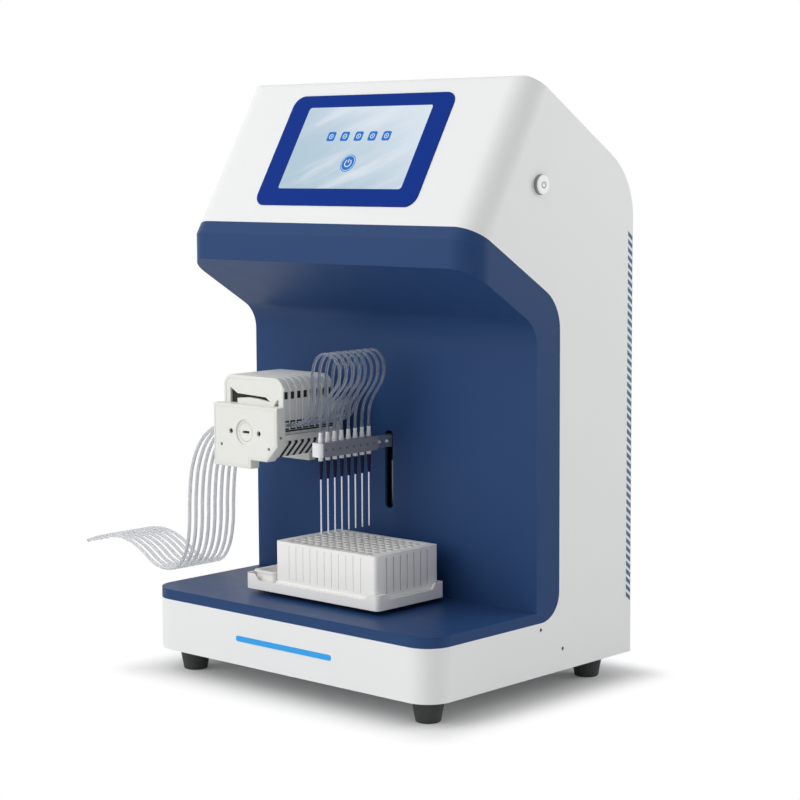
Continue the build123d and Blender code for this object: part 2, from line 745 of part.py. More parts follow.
with BuildPart() as z_frame:
    with BuildSketch(Plane.YZ):
        with BuildLine():
            Polyline(
                (frame_front_y, floor_z),
                (frame_front_y + frame_foot_depth, floor_z),
                (frame_front_y + frame_foot_depth, floor_z + frame_thickness),
                (frame_front_y + frame_thickness, floor_z + frame_thickness),
                (frame_front_y + frame_thickness, base_z + frame_top),
                (behind_wall_y + seat_gap, base_z + frame_top),
                (behind_wall_y + seat_gap, base_z + frame_top - frame_thickness),
                (frame_front_y, base_z + frame_top - frame_thickness),
                (frame_front_y, base_z + lower_shelf + frame_thickness),
                (shelf_front_y, base_z + lower_shelf + frame_thickness),
                (shelf_front_y, base_z + lower_shelf),
                (frame_front_y, base_z + lower_shelf),
                close=True,
            )
        make_face()
    extrude(amount=frame_width / 2, both=True)
    # holes for the motor boss above and the lower end of the screw
    with BuildSketch(Plane.XY.offset(base_z + frame_top + 1)):
        with Locations((z_screw_x, z_screw_y)):
            Circle(motor_boss_radius + screw_play)
    extrude(amount=-frame_thickness - 2, mode=Mode.SUBTRACT)
    with BuildSketch(Plane.XY.offset(base_z + lower_shelf - 1)):
        with Locations((z_screw_x, z_screw_y)):
            Circle(screw_diameter / 2 + screw_play)
    extrude(amount=frame_thickness + 2, mode=Mode.SUBTRACT)
    # lightening window below the lower shelf
    with BuildSketch(Plane.XZ.offset(-frame_front_y + 1)):
        with Locations((0, (floor_z + frame_thickness + base_z + lower_shelf) / 2)):
            RectangleRounded(frame_width - 2 * window_margin, lower_shelf - 2 * window_margin, window_corner)
    extrude(amount=-frame_thickness - 2, mode=Mode.SUBTRACT)
write_piece(z_frame, "z_frame")

with BuildPart() as z_rail:
    with BuildSketch(Plane.XY.offset(base_z + z_rail_low)):
        with Locations((z_rail_x, frame_front_y - rail_height / 2)):
            Rectangle(rail_width, rail_height)
            with GridLocations(rail_width, 0, 2, 1):
                Rectangle(2 * rail_groove_depth, rail_groove_height, mode=Mode.SUBTRACT)
    extrude(amount=z_rail_high - z_rail_low)
write_piece(z_rail, "z_rail")

with BuildPart() as z_motor:
    with BuildSketch(Plane.XY.offset(base_z + frame_top)):
        with Locations((z_screw_x, z_screw_y)):
            Rectangle(motor_size, motor_size)
    extrude(amount=motor_length)
    chamfer(z_motor.edges().filter_by(Axis.Z), motor_corner)
    with BuildSketch(Plane.XY.offset(base_z + frame_top)):
        with Locations((z_screw_x, z_screw_y)):
            Circle(motor_boss_radius)
    extrude(amount=-motor_boss_height)
    with BuildSketch(Plane.XY.offset(base_z + frame_top - motor_boss_height)):
        with Locations((z_screw_x, z_screw_y)):
            Circle(screw_diameter / 2 + screw_play)
    extrude(amount=motor_bore_depth, mode=Mode.SUBTRACT)
write_piece(z_motor, "z_motor")

with BuildPart() as z_screw:
    with BuildSketch(Plane.XY.offset(base_z + lower_shelf)):
        with Locations((z_screw_x, z_screw_y)):
            Circle(screw_diameter / 2)
    extrude(amount=frame_top + screw_top - lower_shelf)
    with BuildSketch(Plane.XY.offset(base_z + lower_shelf + frame_thickness + screw_play)):
        with Locations((z_screw_x, z_screw_y)):
            Circle(screw_diameter / 2 + screw_collar)
    extrude(amount=screw_collar_length)
write_piece(z_screw, "z_screw")

carriage_front_y = frame_front_y - runner_height - carriage_thickness
nut_width = 22.0
nut_depth = 18.0
nut_length = 24.0
with BuildPart() as z_carriage:
    with BuildSketch(Plane.XY.offset(base_z + rest_arm_middle - runner_length / 2)):
        with Locations((z_rail_x, frame_front_y - runner_height / 2 - runner_play)):
            Rectangle(runner_width, runner_height - 2 * runner_play)
        with Locations((z_rail_x, frame_front_y - rail_height / 2)):
            Rectangle(rail_width + 2 * runner_play, rail_height + 2 * runner_play, mode=Mode.SUBTRACT)
        with Locations((z_rail_x / 2 + z_screw_x / 2, carriage_front_y + carriage_thickness / 2)):
            Rectangle(z_rail_x - z_screw_x + runner_width, carriage_thickness)
    extrude(amount=runner_length)
    with BuildSketch(Plane.XY.offset(base_z + rest_arm_middle - nut_length / 2)):
        with Locations((z_screw_x, z_screw_y)):
            Rectangle(nut_width, nut_depth)
    extrude(amount=nut_length)
    with BuildSketch(Plane.XY.offset(base_z + rest_arm_middle - runner_length)):
        with Locations((z_screw_x, z_screw_y)):
            Circle(screw_diameter / 2 + screw_play)
    extrude(amount=2 * runner_length, mode=Mode.SUBTRACT)
write_piece(z_carriage, "z_carriage")

arm_flange_width = 36.0
arm_flange_height = 30.0
arm_flange_thickness = 5.0
arm_flange_x = z_rail_x - 5.0
with BuildPart() as arm_bracket:
    with BuildSketch(Plane.YZ.offset(-arm_thickness / 2)):
        with Locations(((block_rear_y + carriage_front_y) / 2, base_z + rest_arm_middle)):
            Rectangle(carriage_front_y - block_rear_y, arm_high - arm_low)
    extrude(amount=arm_thickness)
    with BuildSketch(Plane.XZ.offset(-carriage_front_y)):
        with Locations((arm_flange_x, base_z + rest_arm_middle)):
            Rectangle(arm_flange_width, arm_flange_height)
    extrude(amount=arm_flange_thickness)
write_piece(arm_bracket, "arm_bracket")

# ------------------------------------------------------------------ horizontal axis under the deck
bed_thickness = 5.0
bed_depth = 74.0
bed_shift = 10.0
x_screw_offset = 26.0
x_screw_level = 28.0
bearing_thickness = 8.0
x_rail_reach = 30.0
slide_thickness = 5.0
post_clearance = 2.0
post_corner = 3.0

x_screw_y = middle_y - x_screw_offset
bed_z = floor_z + bed_thickness
x_screw_z = base_z + x_screw_level
x_rail_left = post_x - carrier_travel_left - x_rail_reach
x_rail_right = post_x + carrier_travel_right + x_rail_reach
x_left_bearing = x_rail_left - bearing_thickness
slide_z = bed_z + runner_height

with BuildPart() as x_frame:
    with BuildSketch(Plane.XY.offset(floor_z)):
        with Locations(((x_left_bearing + x_rail_right + bearing_thickness) / 2, middle_y - bed_shift)):
            Rectangle(x_rail_right - x_left_bearing + bearing_thickness, bed_depth)
    extrude(amount=bed_thickness)
    # upright plates for the motor and for the far end of the screw
    for left in (x_left_bearing, x_rail_right):
        with BuildSketch(Plane.YZ.offset(left)):
            with Locations((x_screw_y, (bed_z + x_screw_z + motor_size / 2) / 2)):
                Rectangle(motor_size, x_screw_z + motor_size / 2 - bed_z)
        extrude(amount=bearing_thickness)
    with BuildSketch(Plane.YZ.offset(x_left_bearing - 1)):
        with Locations((x_screw_y, x_screw_z)):
            Circle(screw_diameter / 2 + screw_play)
    extrude(amount=bearing_thickness + 2, mode=Mode.SUBTRACT)
    with BuildSketch(Plane.YZ.offset(x_rail_right - 1)):
        with Locations((x_screw_y, x_screw_z)):
            Circle(motor_boss_radius + screw_play)
    extrude(amount=bearing_thickness + 2, mode=Mode.SUBTRACT)
write_piece(x_frame, "x_frame")

with BuildPart() as x_rail:
    with BuildSketch(Plane.YZ.offset(x_rail_left)):
        with Locations((middle_y, bed_z + rail_height / 2)):
            Rectangle(rail_width, rail_height)
            with GridLocations(rail_width, 0, 2, 1):
                Rectangle(2 * rail_groove_depth, rail_groove_height, mode=Mode.SUBTRACT)
    extrude(amount=x_rail_right - x_rail_left)
write_piece(x_rail, "x_rail")

x_motor_left = x_rail_right + bearing_thickness
with BuildPart() as x_motor:
    with BuildSketch(Plane.YZ.offset(x_motor_left)):
        with Locations((x_screw_y, x_screw_z)):
            Rectangle(motor_size, motor_size)
    extrude(amount=motor_length)
    chamfer(x_motor.edges().filter_by(Axis.X), motor_corner)
    with BuildSketch(Plane.YZ.offset(x_motor_left)):
        with Locations((x_screw_y, x_screw_z)):
            Circle(motor_boss_radius)
    extrude(amount=-motor_boss_height)
    with BuildSketch(Plane.YZ.offset(x_motor_left - motor_boss_height)):
        with Locations((x_screw_y, x_screw_z)):
            Circle(screw_diameter / 2 + screw_play)
    extrude(amount=motor_bore_depth, mode=Mode.SUBTRACT)
write_piece(x_motor, "x_motor")

with BuildPart() as x_screw:
    with BuildSketch(Plane.YZ.offset(x_left_bearing)):
        with Locations((x_screw_y, x_screw_z)):
            Circle(screw_diameter / 2)
    extrude(amount=x_motor_left + screw_top - x_left_bearing)
    with BuildSketch(Plane.YZ.offset(x_left_bearing + bearing_thickness + screw_play)):
        with Locations((x_screw_y, x_screw_z)):
            Circle(screw_diameter / 2 + screw_collar)
    extrude(amount=screw_collar_length)
write_piece(x_screw, "x_screw")

with BuildPart() as x_carriage:
    # runner on the rail, with the slide plate over it
    with BuildSketch(Plane.YZ.offset(post_x - runner_length / 2)):
        with Locations((middle_y, bed_z + runner_height / 2 + runner_play)):
            Rectangle(runner_width, runner_height - 2 * runner_play)
        with Locations((middle_y, bed_z + rail_height / 2)):
            Rectangle(rail_width + 2 * runner_play, rail_height + 2 * runner_play, mode=Mode.SUBTRACT)
    extrude(amount=runner_length)
    with BuildSketch(Plane.XY.offset(slide_z - runner_play)):
        with Locations((post_x, (middle_y + runner_width / 2 + x_screw_y - nut_width / 2) / 2)):
            Rectangle(runner_length, middle_y + runner_width / 2 - x_screw_y + nut_width / 2)
    extrude(amount=slide_thickness)
    # nut housing round the screw
    with BuildSketch(Plane.YZ.offset(post_x - nut_length / 2)):
        with Locations((x_screw_y, x_screw_z)):
            Rectangle(nut_depth, nut_width)
    extrude(amount=nut_length)
    with BuildSketch(Plane.YZ.offset(post_x - runner_length)):
        with Locations((x_screw_y, x_screw_z)):
            Circle(screw_diameter / 2 + screw_play)
    extrude(amount=2 * runner_length, mode=Mode.SUBTRACT)
    # post through the slot in the deck
    with BuildSketch(Plane.XY.offset(slide_z)):
        with Locations((post_x, middle_y)):
            RectangleRounded(post_length, deck_slot_width - 2 * post_clearance, post_corner)
    extrude(amount=base_z + carrier_underside - slide_z)
write_piece(x_carriage, "x_carriage")

# ------------------------------------------------------------------ plate carrier, plate and trough
carrier_front_edge = 1.3
carrier_rear_edge = 2.0
plate_play = 0.3
rim_height = 4.5
corner_height = 10.0
corner_length = 16.0
rim_thickness = 2.4
rim_slope = 5.0  # run of the sloping ends of the corners
carrier_corner = 4.0

carrier_front_y = middle_y - plate_width / 2 - carrier_front_edge
carrier_rear_y = middle_y + plate_width / 2 + carrier_rear_edge
carrier_width = carrier_right - carrier_left
carrier_depth = carrier_rear_y - carrier_front_y
carrier_middle_y = (carrier_front_y + carrier_rear_y) / 2

trough_wall = 1.5
trough_height = 13.0
trough_rim = 1.5
trough_length = 80.0
trough_corner = 4.0

with BuildPart() as plate_carrier:
    with BuildSketch(Plane.XY.offset(base_z + carrier_underside)):
        with Locations((post_x, carrier_middle_y)):
            RectangleRounded(carrier_width, carrier_depth, carrier_corner)
    extrude(amount=plate_seat + corner_height - carrier_underside)
    with BuildSketch(Plane.XY.offset(base_z + plate_seat)):
        with Locations((plate_x, middle_y)):
            Rectangle(plate_length + 2 * plate_play, plate_width + 2 * plate_play)
        with Locations(((carrier_left + rim_thickness + plate_left) / 2, middle_y)):
            Rectangle(plate_left - carrier_left - rim_thickness + 1, plate_width + 2 * plate_play)
    extrude(amount=corner_height + 1, mode=Mode.SUBTRACT)
    # the rim is low between its corners, whose ends slope
    with BuildSketch(Plane.XZ.offset(-carrier_rear_y - 1)):
        with BuildLine():
            Polyline(
                (carrier_left + corner_length, base_z + plate_seat + rim_height),
                (carrier_right - corner_length, base_z + plate_seat + rim_height),
                (carrier_right - corner_length + rim_slope, base_z + plate_seat + corner_height + 1),
                (carrier_left + corner_length - rim_slope, base_z + plate_seat + corner_height + 1),
                close=True,
            )
        make_face()
    extrude(amount=carrier_depth + 2, mode=Mode.SUBTRACT)
    with BuildSketch(Plane.YZ.offset(carrier_left - 1)):
        with BuildLine():
            Polyline(
                (carrier_front_y + corner_length, base_z + plate_seat + rim_height),
                (carrier_rear_y - corner_length, base_z + plate_seat + rim_height),
                (carrier_rear_y - corner_length + rim_slope, base_z + plate_seat + corner_height + 1),
                (carrier_front_y + corner_length - rim_slope, base_z + plate_seat + corner_height + 1),
                close=True,
            )
        make_face()
    extrude(amount=carrier_width + 2, mode=Mode.SUBTRACT)
write_piece(plate_carrier, "plate_carrier")

plate_flange = 2.4
plate_flange_height = 6.0
plate_corner = 3.0
flute_margin = 3.0  # between a flute and the rim or the flange
flute_width = 1.8
end_flute_depth = 3.5
side_flute_depth = 0.5

plate_z = base_z + plate_seat
wells_x = (column_x[0] + column_x[-1]) / 2
with BuildPart() as deep_well_plate:
    with BuildSketch(Plane.XY.offset(plate_z)):
        with Locations((plate_x, middle_y)):
            RectangleRounded(plate_length, plate_width, plate_corner)
    extrude(amount=plate_flange_height)
    with BuildSketch(Plane.XY.offset(plate_z + plate_flange_height)):
        with Locations((plate_x, middle_y)):
            RectangleRounded(plate_length - plate_flange, plate_width - plate_flange, plate_corner)
    extrude(amount=plate_height - plate_flange_height)
    with BuildSketch(Plane.XY.offset(plate_z + plate_height)):
        with Locations((wells_x, middle_y)):
            with GridLocations(needle_pitch, needle_pitch, plate_columns, channels):
                Rectangle(well_size, well_size)
    extrude(amount=-well_depth, mode=Mode.SUBTRACT)
    # flutes between the wells, deep at the ends and shallow along the sides
    with BuildSketch(Plane.XY.offset(plate_z + plate_flange_height + flute_margin)):
        with Locations((plate_x, middle_y)):
            with GridLocations(plate_length - plate_flange, needle_pitch, 2, channels - 1):
                Rectangle(2 * end_flute_depth, flute_width)
        with Locations((wells_x, middle_y)):
            with GridLocations(needle_pitch, plate_width - plate_flange, plate_columns - 1, 2):
                Rectangle(flute_width, 2 * side_flute_depth)
    extrude(amount=plate_height - plate_flange_height - 2 * flute_margin, mode=Mode.SUBTRACT)
write_piece(deep_well_plate, "deep_well_plate")

with BuildPart() as priming_trough:
    with BuildSketch(Plane.XY.offset(plate_z)):
        with Locations((trough_x, middle_y)):
            RectangleRounded(trough_width - 2 * trough_rim, trough_length - 2 * trough_rim, trough_corner)
    extrude(amount=trough_height)
    with BuildSketch(Plane.XY.offset(plate_z + trough_height)):
        with Locations((trough_x, middle_y)):
            RectangleRounded(trough_width, trough_length, trough_corner)
    extrude(amount=-trough_wall)
    with BuildSketch(Plane.XY.offset(plate_z + trough_height)):
        with Locations((trough_x, middle_y)):
            inner_margin = 2 * (trough_rim + trough_wall)
            RectangleRounded(trough_width - inner_margin, trough_length - inner_margin, trough_corner / 2)
    extrude(amount=-(trough_height - trough_wall), mode=Mode.SUBTRACT)
write_piece(priming_trough, "priming_trough")

# ------------------------------------------------------------------ pump head
plate_top_rise = 24.9  # of the front plate above the rotor axis
plate_side_drop = 10.8
plate_step_drop = 25.3
plate_low_drop = 33.5
chamfer_run = 14.0
step_run = 34.9
drive_ring_radius = 12.0
drive_ring_depth = 1.5
journal_radius = 8.6
journal_play = 0.3
drive_slot_width = 2.4
drive_slot_length = 9.0
drive_slot_depth = 2.5
plate_screw_spacing = 37.0
plate_screw_radius = 2.5
plate_pin_spacing = 63.0
plate_pin_radius = 1.6
plate_pin_drop = 13.2
plate_hole_depth = 3.0
plate_edge = 0.8
border_inset = 2.2  # of the fine groove round the front plate
border_width = 0.5
border_depth = 0.4
side_hole_drop = 2.5
side_hole_radius = 1.7
side_hole_depth = 4.0
mount_thickness = 8.0
pillar_radius = 5.0
pillar_spacing_x = 57.0
pillar_spacing_z = 37.0
shaft_radius = 4.0
shaft_grip = 12.0  # how far the shaft reaches into the motor
end_disc_radius = 20.5
end_disc_thickness = 3.0
core_radius = 9.0
roller_pin_radius = 1.5
roller_play = 0.3
bar_height = 4.6
bar_depth = 6.2
bar_drop = 3.0
tube_entry_rise = 2.0
tube_exit_rise = 8.0

plate_half = pump_plate_width / 2


def plate_outline():
    """Outline shared by the front plate and the mount plate, about the rotor axis."""
    return [
        (-plate_half, plate_top_rise),
        (plate_half, plate_top_rise),
        (plate_half, -plate_side_drop),
        (plate_half - chamfer_run, -plate_step_drop),
        (plate_half - step_run, -plate_step_drop),
        (plate_half - step_run, -plate_low_drop),
        (-plate_half, -plate_low_drop),
    ]


def pump_plane(y):
    """Plane across the pump at y, centred on the rotor and facing the front."""
    return Plane(origin=(pump_x, y, pump_z), x_dir=(1, 0, 0), z_dir=(0, -1, 0))


with BuildPart() as pump_front_plate:
    with BuildSketch(pump_plane(stack_front_y)):
        with BuildLine():
            Polyline(*plate_outline(), close=True)
        make_face()
    extrude(amount=pump_plate_thickness)
    chamfer(pump_front_plate.faces().sort_by(Axis.Y)[0].edges(), plate_edge)
    with BuildSketch(pump_plane(pump_front_y)):
        with BuildLine():
            Polyline(*plate_outline(), close=True)
        make_face()
        offset(amount=-border_inset, kind=Kind.INTERSECTION)
        offset(amount=-border_width, kind=Kind.INTERSECTION, mode=Mode.SUBTRACT)
    extrude(amount=-border_depth, mode=Mode.SUBTRACT)
    with BuildSketch(pump_plane(pump_front_y)):
        Circle(drive_ring_radius)
    extrude(amount=-drive_ring_depth, mode=Mode.SUBTRACT)
    with BuildSketch(pump_plane(pump_front_y)):
        Circle(journal_radius + journal_play)
    extrude(amount=-pump_plate_thickness, mode=Mode.SUBTRACT)
    with BuildSketch(pump_plane(pump_front_y)):
        with GridLocations(plate_screw_spacing, 0, 2, 1):
            Circle(plate_screw_radius)
        with Locations((0, -plate_pin_drop)):
            with GridLocations(plate_pin_spacing, 0, 2, 1):
                Circle(plate_pin_radius)
    extrude(amount=-plate_hole_depth, mode=Mode.SUBTRACT)
    # hole for the grub screw in the side
    with BuildSketch(Plane.YZ.offset(pump_x + plate_half)):
        with Locations((pump_front_y + pump_plate_thickness / 2, pump_z - side_hole_drop)):
            Circle(side_hole_radius)
    extrude(amount=-side_hole_depth, mode=Mode.SUBTRACT)
write_piece(pump_front_plate, "pump_front_plate")

mount_rear_y = stack_rear_y + mount_thickness
with BuildPart() as pump_mount_plate:
    with BuildSketch(pump_plane(mount_rear_y)):
        with BuildLine():
            Polyline(*plate_outline(), close=True)
        make_face()
    extrude(amount=mount_thickness)
    with BuildSketch(pump_plane(wall_y)):
        with GridLocations(pillar_spacing_x, pillar_spacing_z, 2, 2):
            Circle(pillar_radius)
    extrude(amount=wall_y - mount_rear_y)
    with BuildSketch(pump_plane(wall_y)):
        Circle(journal_radius + journal_play)
    extrude(amount=wall_y - stack_rear_y, mode=Mode.SUBTRACT)
write_piece(pump_mount_plate, "pump_mount_plate")

with BuildPart() as pump_tie_bars:
    with BuildSketch(pump_plane(stack_rear_y)):
        with Locations((0, -bar_drop)):
            with GridLocations(pump_plate_width - bar_depth, 0, 2, 1):
                Rectangle(bar_depth, bar_height)
    extrude(amount=stack_depth)
write_piece(pump_tie_bars, "pump_tie_bars")

disc_gap = 1.0
front_disc_y = stack_front_y + disc_gap
rear_disc_y = stack_rear_y - disc_gap
with BuildPart() as pump_rotor:
    # drive shaft from the motor to the slotted end in the front plate
    with BuildSketch(pump_plane(pump_front_y + drive_ring_depth)):
        Circle(journal_radius)
    extrude(amount=-(front_disc_y - pump_front_y - drive_ring_depth))
    with BuildSketch(pump_plane(front_disc_y)):
        Circle(core_radius)
    extrude(amount=-(rear_disc_y - front_disc_y))
    with BuildSketch(pump_plane(rear_disc_y)):
        Circle(journal_radius)
    extrude(amount=-(wall_y - rear_disc_y))
    with BuildSketch(pump_plane(wall_y)):
        Circle(shaft_radius)
    extrude(amount=-shaft_grip)
    for y in (front_disc_y, rear_disc_y - end_disc_thickness):
        with BuildSketch(pump_plane(y)):
            Circle(end_disc_radius)
            with PolarLocations(roller_orbit, roller_count):
                Circle(roller_pin_radius + roller_play, mode=Mode.SUBTRACT)
        extrude(amount=-end_disc_thickness)
    with BuildSketch(pump_plane(pump_front_y + drive_ring_depth)):
        Rectangle(drive_slot_length, drive_slot_width)
    extrude(amount=-drive_slot_depth, mode=Mode.SUBTRACT)
write_piece(pump_rotor, "pump_rotor")

for i in range(roller_count):
    angle = radians(i * 360 / roller_count)
    with BuildPart() as roller:
        with BuildSketch(pump_plane(front_disc_y + end_disc_thickness + roller_play)):
            with Locations((roller_orbit * cos(angle), roller_orbit * sin(angle))):
                Circle(roller_radius)
        extrude(amount=-(rear_disc_y - front_disc_y - 2 * (end_disc_thickness + roller_play)))
        with BuildSketch(pump_plane(front_disc_y)):
            with Locations((roller_orbit * cos(angle), roller_orbit * sin(angle))):
                Circle(roller_pin_radius)
        extrude(amount=-(rear_disc_y - front_disc_y))
    write_piece(roller, f"pump_roller_{i + 1}")

# Cassettes: each holds one tube over the rollers; an arched handle stands above the front plate
cassette_half = 39.5
cassette_edge = 0.7
handle_rise = 51.0
left_shoulder = 10.0
right_shoulder = 12.0
leg_low_drop = 22.5
leg_foot = 27.0
leg_side_drop = 9.0
rib_drop = 6.5  # below this level the legs narrow to ribs
rib_setback = 1.8
notch_depth = 4.5
notch_width = 5.2
exit_notch_height = 7.0
entry_notch_height = 5.6
clip_margin = 0.5  # dark gap between a tube clip and its notch
clip_recess = 1.6
clip_play = 0.1
window_depth = 5.0
window_width = 4.4
window_low = 32.0
window_high = 38.6
latch_low = 39.0
latch_high = 42.4
latch_width = 6.2
latch_proud = 0.6
latch_grip = 3.0
handle_slot = [
    (-30.5, 25),
    (-30.5, 39.5),
    (-21, 34),
    (17, 32.5),
    (23, 28.5),
    (8, 30.3),
    (-6, 31),
    (-21, 29.5),
    (-21, 25),
]
hook_slot = [(27, 25), (31.5, 31), (33.5, 31), (33.5, 25)]
groove_inset = 3.2
groove_width = 0.6
groove_depth = 0.5
groove_end = 6.0  # how far past the axis the groove runs along the top

cassette_thickness = cassette_pitch - cassette_gap
cassette_rear_y = stack_front_y + cassette_pitch
cassette_front_y = cassette_rear_y - cassette_thickness
cassette_middle_y = cassette_rear_y - cassette_thickness / 2


def cassette_outline():
    """Outline of a cassette about the rotor axis, without its bed and slots."""
    with BuildSketch() as outline:
        with BuildLine():
            Polyline(
                (leg_foot, -leg_low_drop),
                (cassette_half, -leg_side_drop),
                (cassette_half, handle_rise),
                (-cassette_half, handle_rise),
                (-cassette_half, -leg_side_drop),
                (-leg_foot, -leg_low_drop),
                close=True,
            )
        make_face()
        fillet(outline.vertices().sort_by_distance((cassette_half, handle_rise))[0], right_shoulder)
        fillet(outline.vertices().sort_by_distance((-cassette_half, handle_rise))[0], left_shoulder)
    return outline.sketch


with BuildPart() as cassette:
    with BuildSketch(pump_plane(cassette_rear_y)):
        add(cassette_outline())
    extrude(amount=cassette_thickness)
    rim_edges = cassette.edges().filter_by(Axis.Y, reverse=True)
    chamfer(rim_edges.filter_by_position(Axis.Z, pump_z, pump_z + handle_rise + 1), cassette_edge)
    # bed round the rollers, open below, with the slots of the handle and the seats of the tie bars
    with BuildSketch(pump_plane(cassette_rear_y)):
        Circle(bed_radius)
        with Locations((0, -bed_radius)):
            Rectangle(2 * bed_radius, 2 * bed_radius)
        Polygon(*handle_slot, align=None)
        Polygon(*hook_slot, align=None)
        with Locations((0, -bar_drop)):
            with GridLocations(pump_plate_width - bar_depth, 0, 2, 1):
                Rectangle(bar_depth + 2 * seat_gap, bar_height + 2 * seat_gap)
    extrude(amount=cassette_pitch, mode=Mode.SUBTRACT)
    # groove that follows the left shoulder
    with BuildSketch(pump_plane(cassette_front_y)):
        add(cassette_outline())
        offset(amount=-groove_inset)
        offset(amount=-groove_width, mode=Mode.SUBTRACT)
        with Locations(((groove_end - cassette_half) / 2, (plate_top_rise + handle_rise) / 2)):
            Rectangle(groove_end + cassette_half, handle_rise - plate_top_rise, mode=Mode.INTERSECT)
    extrude(amount=-groove_depth, mode=Mode.SUBTRACT)
    # legs narrowed to ribs on both faces
    for face_y, direction in ((cassette_front_y, -1), (cassette_rear_y, 1)):
        with BuildSketch(pump_plane(face_y)):
            with Locations((0, -(rib_drop + leg_low_drop) / 2)):
                Rectangle(2 * cassette_half, leg_low_drop - rib_drop)
        extrude(amount=direction * rib_setback, mode=Mode.SUBTRACT)
    # tube notches on both sides and the window under the latch
    with BuildSketch(pump_plane(cassette_middle_y + notch_width / 2)):
        with Locations((cassette_half, tube_exit_rise)):
            Rectangle(2 * notch_depth, exit_notch_height)
        with Locations((-cassette_half, tube_entry_rise)):
            Rectangle(2 * notch_depth, entry_notch_height)
    extrude(amount=notch_width, mode=Mode.SUBTRACT)
    with BuildSketch(pump_plane(cassette_middle_y + window_width / 2)):
        with Locations((cassette_half, (window_low + window_high) / 2)):
            Rectangle(2 * window_depth, window_high - window_low)
    extrude(amount=window_width, mode=Mode.SUBTRACT)
    with BuildSketch(pump_plane(cassette_middle_y + latch_width / 2)):
        with Locations((cassette_half + (latch_proud - latch_grip) / 2, (latch_low + latch_high) / 2)):
            Rectangle(latch_proud + latch_grip, latch_high - latch_low)
    extrude(amount=latch_width)
    # clip that holds the tube in its notch
    clip_reach = notch_depth - clip_recess
    clip_width = notch_width - 2 * clip_margin
    with BuildSketch(pump_plane(cassette_middle_y + clip_width / 2)):
        with Locations((cassette_half - notch_depth + clip_reach / 2, tube_exit_rise)):
            Rectangle(clip_reach, exit_notch_height - 2 * clip_margin)
    extrude(amount=clip_width)
    with BuildSketch(Plane.YZ.offset(pump_x + cassette_half - notch_depth)):
        with Locations((cassette_middle_y, pump_z + tube_exit_rise)):
            Circle(outlet_tube_diameter / 2 + clip_play)
    extrude(amount=notch_depth, mode=Mode.SUBTRACT)

with BuildPart() as tube_cassettes:
    with Locations(*[(0, i * cassette_pitch, 0) for i in range(channels)]):
        add(cassette.part)
write_piece(tube_cassettes, "tube_cassettes")

pump_motor_size = 57.0
pump_motor_length = 56.0
with BuildPart() as pump_motor:
    with BuildSketch(pump_plane(behind_wall_y)):
        Rectangle(pump_motor_size, pump_motor_size)
    extrude(amount=-pump_motor_length)
    chamfer(pump_motor.edges().filter_by(Axis.Y), motor_corner)
    with BuildSketch(pump_plane(behind_wall_y)):
        Circle(shaft_radius + journal_play)
    extrude(amount=-shaft_grip, mode=Mode.SUBTRACT)
write_piece(pump_motor, "pump_motor")

# ------------------------------------------------------------------ power supply and main board
supply_width = 98.0
supply_depth = 96.0
supply_height = 38.0
supply_x = -118.0
supply_setback = 7.9  # from the wall of the bay
supply_slot_length = 60.0
supply_slot_width = 4.0
supply_slot_pitch = 9.0
supply_slot_count = 9
supply_slot_depth = 1.2
board_width = 95.0
board_depth = 108.0
board_thickness = 1.6
board_x = 118.0
board_setback = 13.9
standoff = 6.0
standoff_radius = 3.0
standoff_inset = 5.0
chip_size = 16.0
chip_height = 5.0
chip_x = board_x - 18.0
plug_width = 10.0
plug_length = 16.0
plug_pitch = 22.0
plug_count = 4
plug_x = board_x + 34.0

supply_y = behind_wall_y + supply_setback + supply_depth / 2
board_y = behind_wall_y + board_setback + board_depth / 2

with BuildPart() as power_supply:
    with BuildSketch(Plane.XY.offset(floor_z)):
        with Locations((supply_x, supply_y)):
            Rectangle(supply_width, supply_depth)
    extrude(amount=supply_height)
    with BuildSketch(Plane.XY.offset(floor_z + supply_height)):
        with Locations((supply_x, supply_y)):
            with GridLocations(supply_slot_pitch, 0, supply_slot_count, 1):
                SlotOverall(supply_slot_length, supply_slot_width, rotation=90)
    extrude(amount=-supply_slot_depth, mode=Mode.SUBTRACT)
write_piece(power_supply, "power_supply")

with BuildPart() as main_board:
    with BuildSketch(Plane.XY.offset(floor_z)):
        with Locations((board_x, board_y)):
            with GridLocations(board_width - 2 * standoff_inset, board_depth - 2 * standoff_inset, 2, 2):
                Circle(standoff_radius)
    extrude(amount=standoff)
    with BuildSketch(Plane.XY.offset(floor_z + standoff)):
        with Locations((board_x, board_y)):
            Rectangle(board_width, board_depth)
    extrude(amount=board_thickness)
    with BuildSketch(Plane.XY.offset(floor_z + standoff + board_thickness)):
        with Locations((chip_x, board_y)):
            Rectangle(chip_size, chip_size)
        with Locations((plug_x, board_y)):
            with GridLocations(0, plug_pitch, 1, plug_count):
                Rectangle(plug_width, plug_length)
    extrude(amount=chip_height)
write_piece(main_board, "main_board")

# ------------------------------------------------------------------ tubes
# Routes in the XZ plane; channel 1 is the front one
inlet_route = [  # heights above the base
    (-134.5, pump_height + tube_entry_rise),
    (-157.5, 195.0),
    (-171.5, 168.0),
    (-175.4, 134.0),
    (-175.6, 108.0),
    (-180.0, 84.0),
    (-191.5, 66.5),
    (-208.5, 62.5),
    (-227.5, 64.5),
    (-249.5, 79.5),
    (-270.5, 86.5),
    (-290.5, 87.0),
    (-310.5, 83.0),
    (-329.3, 76.8),
]
loop_start = (-18.0, tube_exit_rise)  # these heights are over the rotor axis
loop_rise = (-9.6, 31.5)
loop_points = [(-9.3, 68.8), (7.7, 78.6), (24.7, 68.8), (24.9, 50.5)]
outlet_narrowing = 0.7  # each loop is this much narrower than the one in front of it
outlet_end = [(5.0, 27.7), (0.0, 14.7), (0.0, 0.0)]  # these are over the sleeve
bend_share = 0.45  # of the shorter run next to a bend that the bend takes up


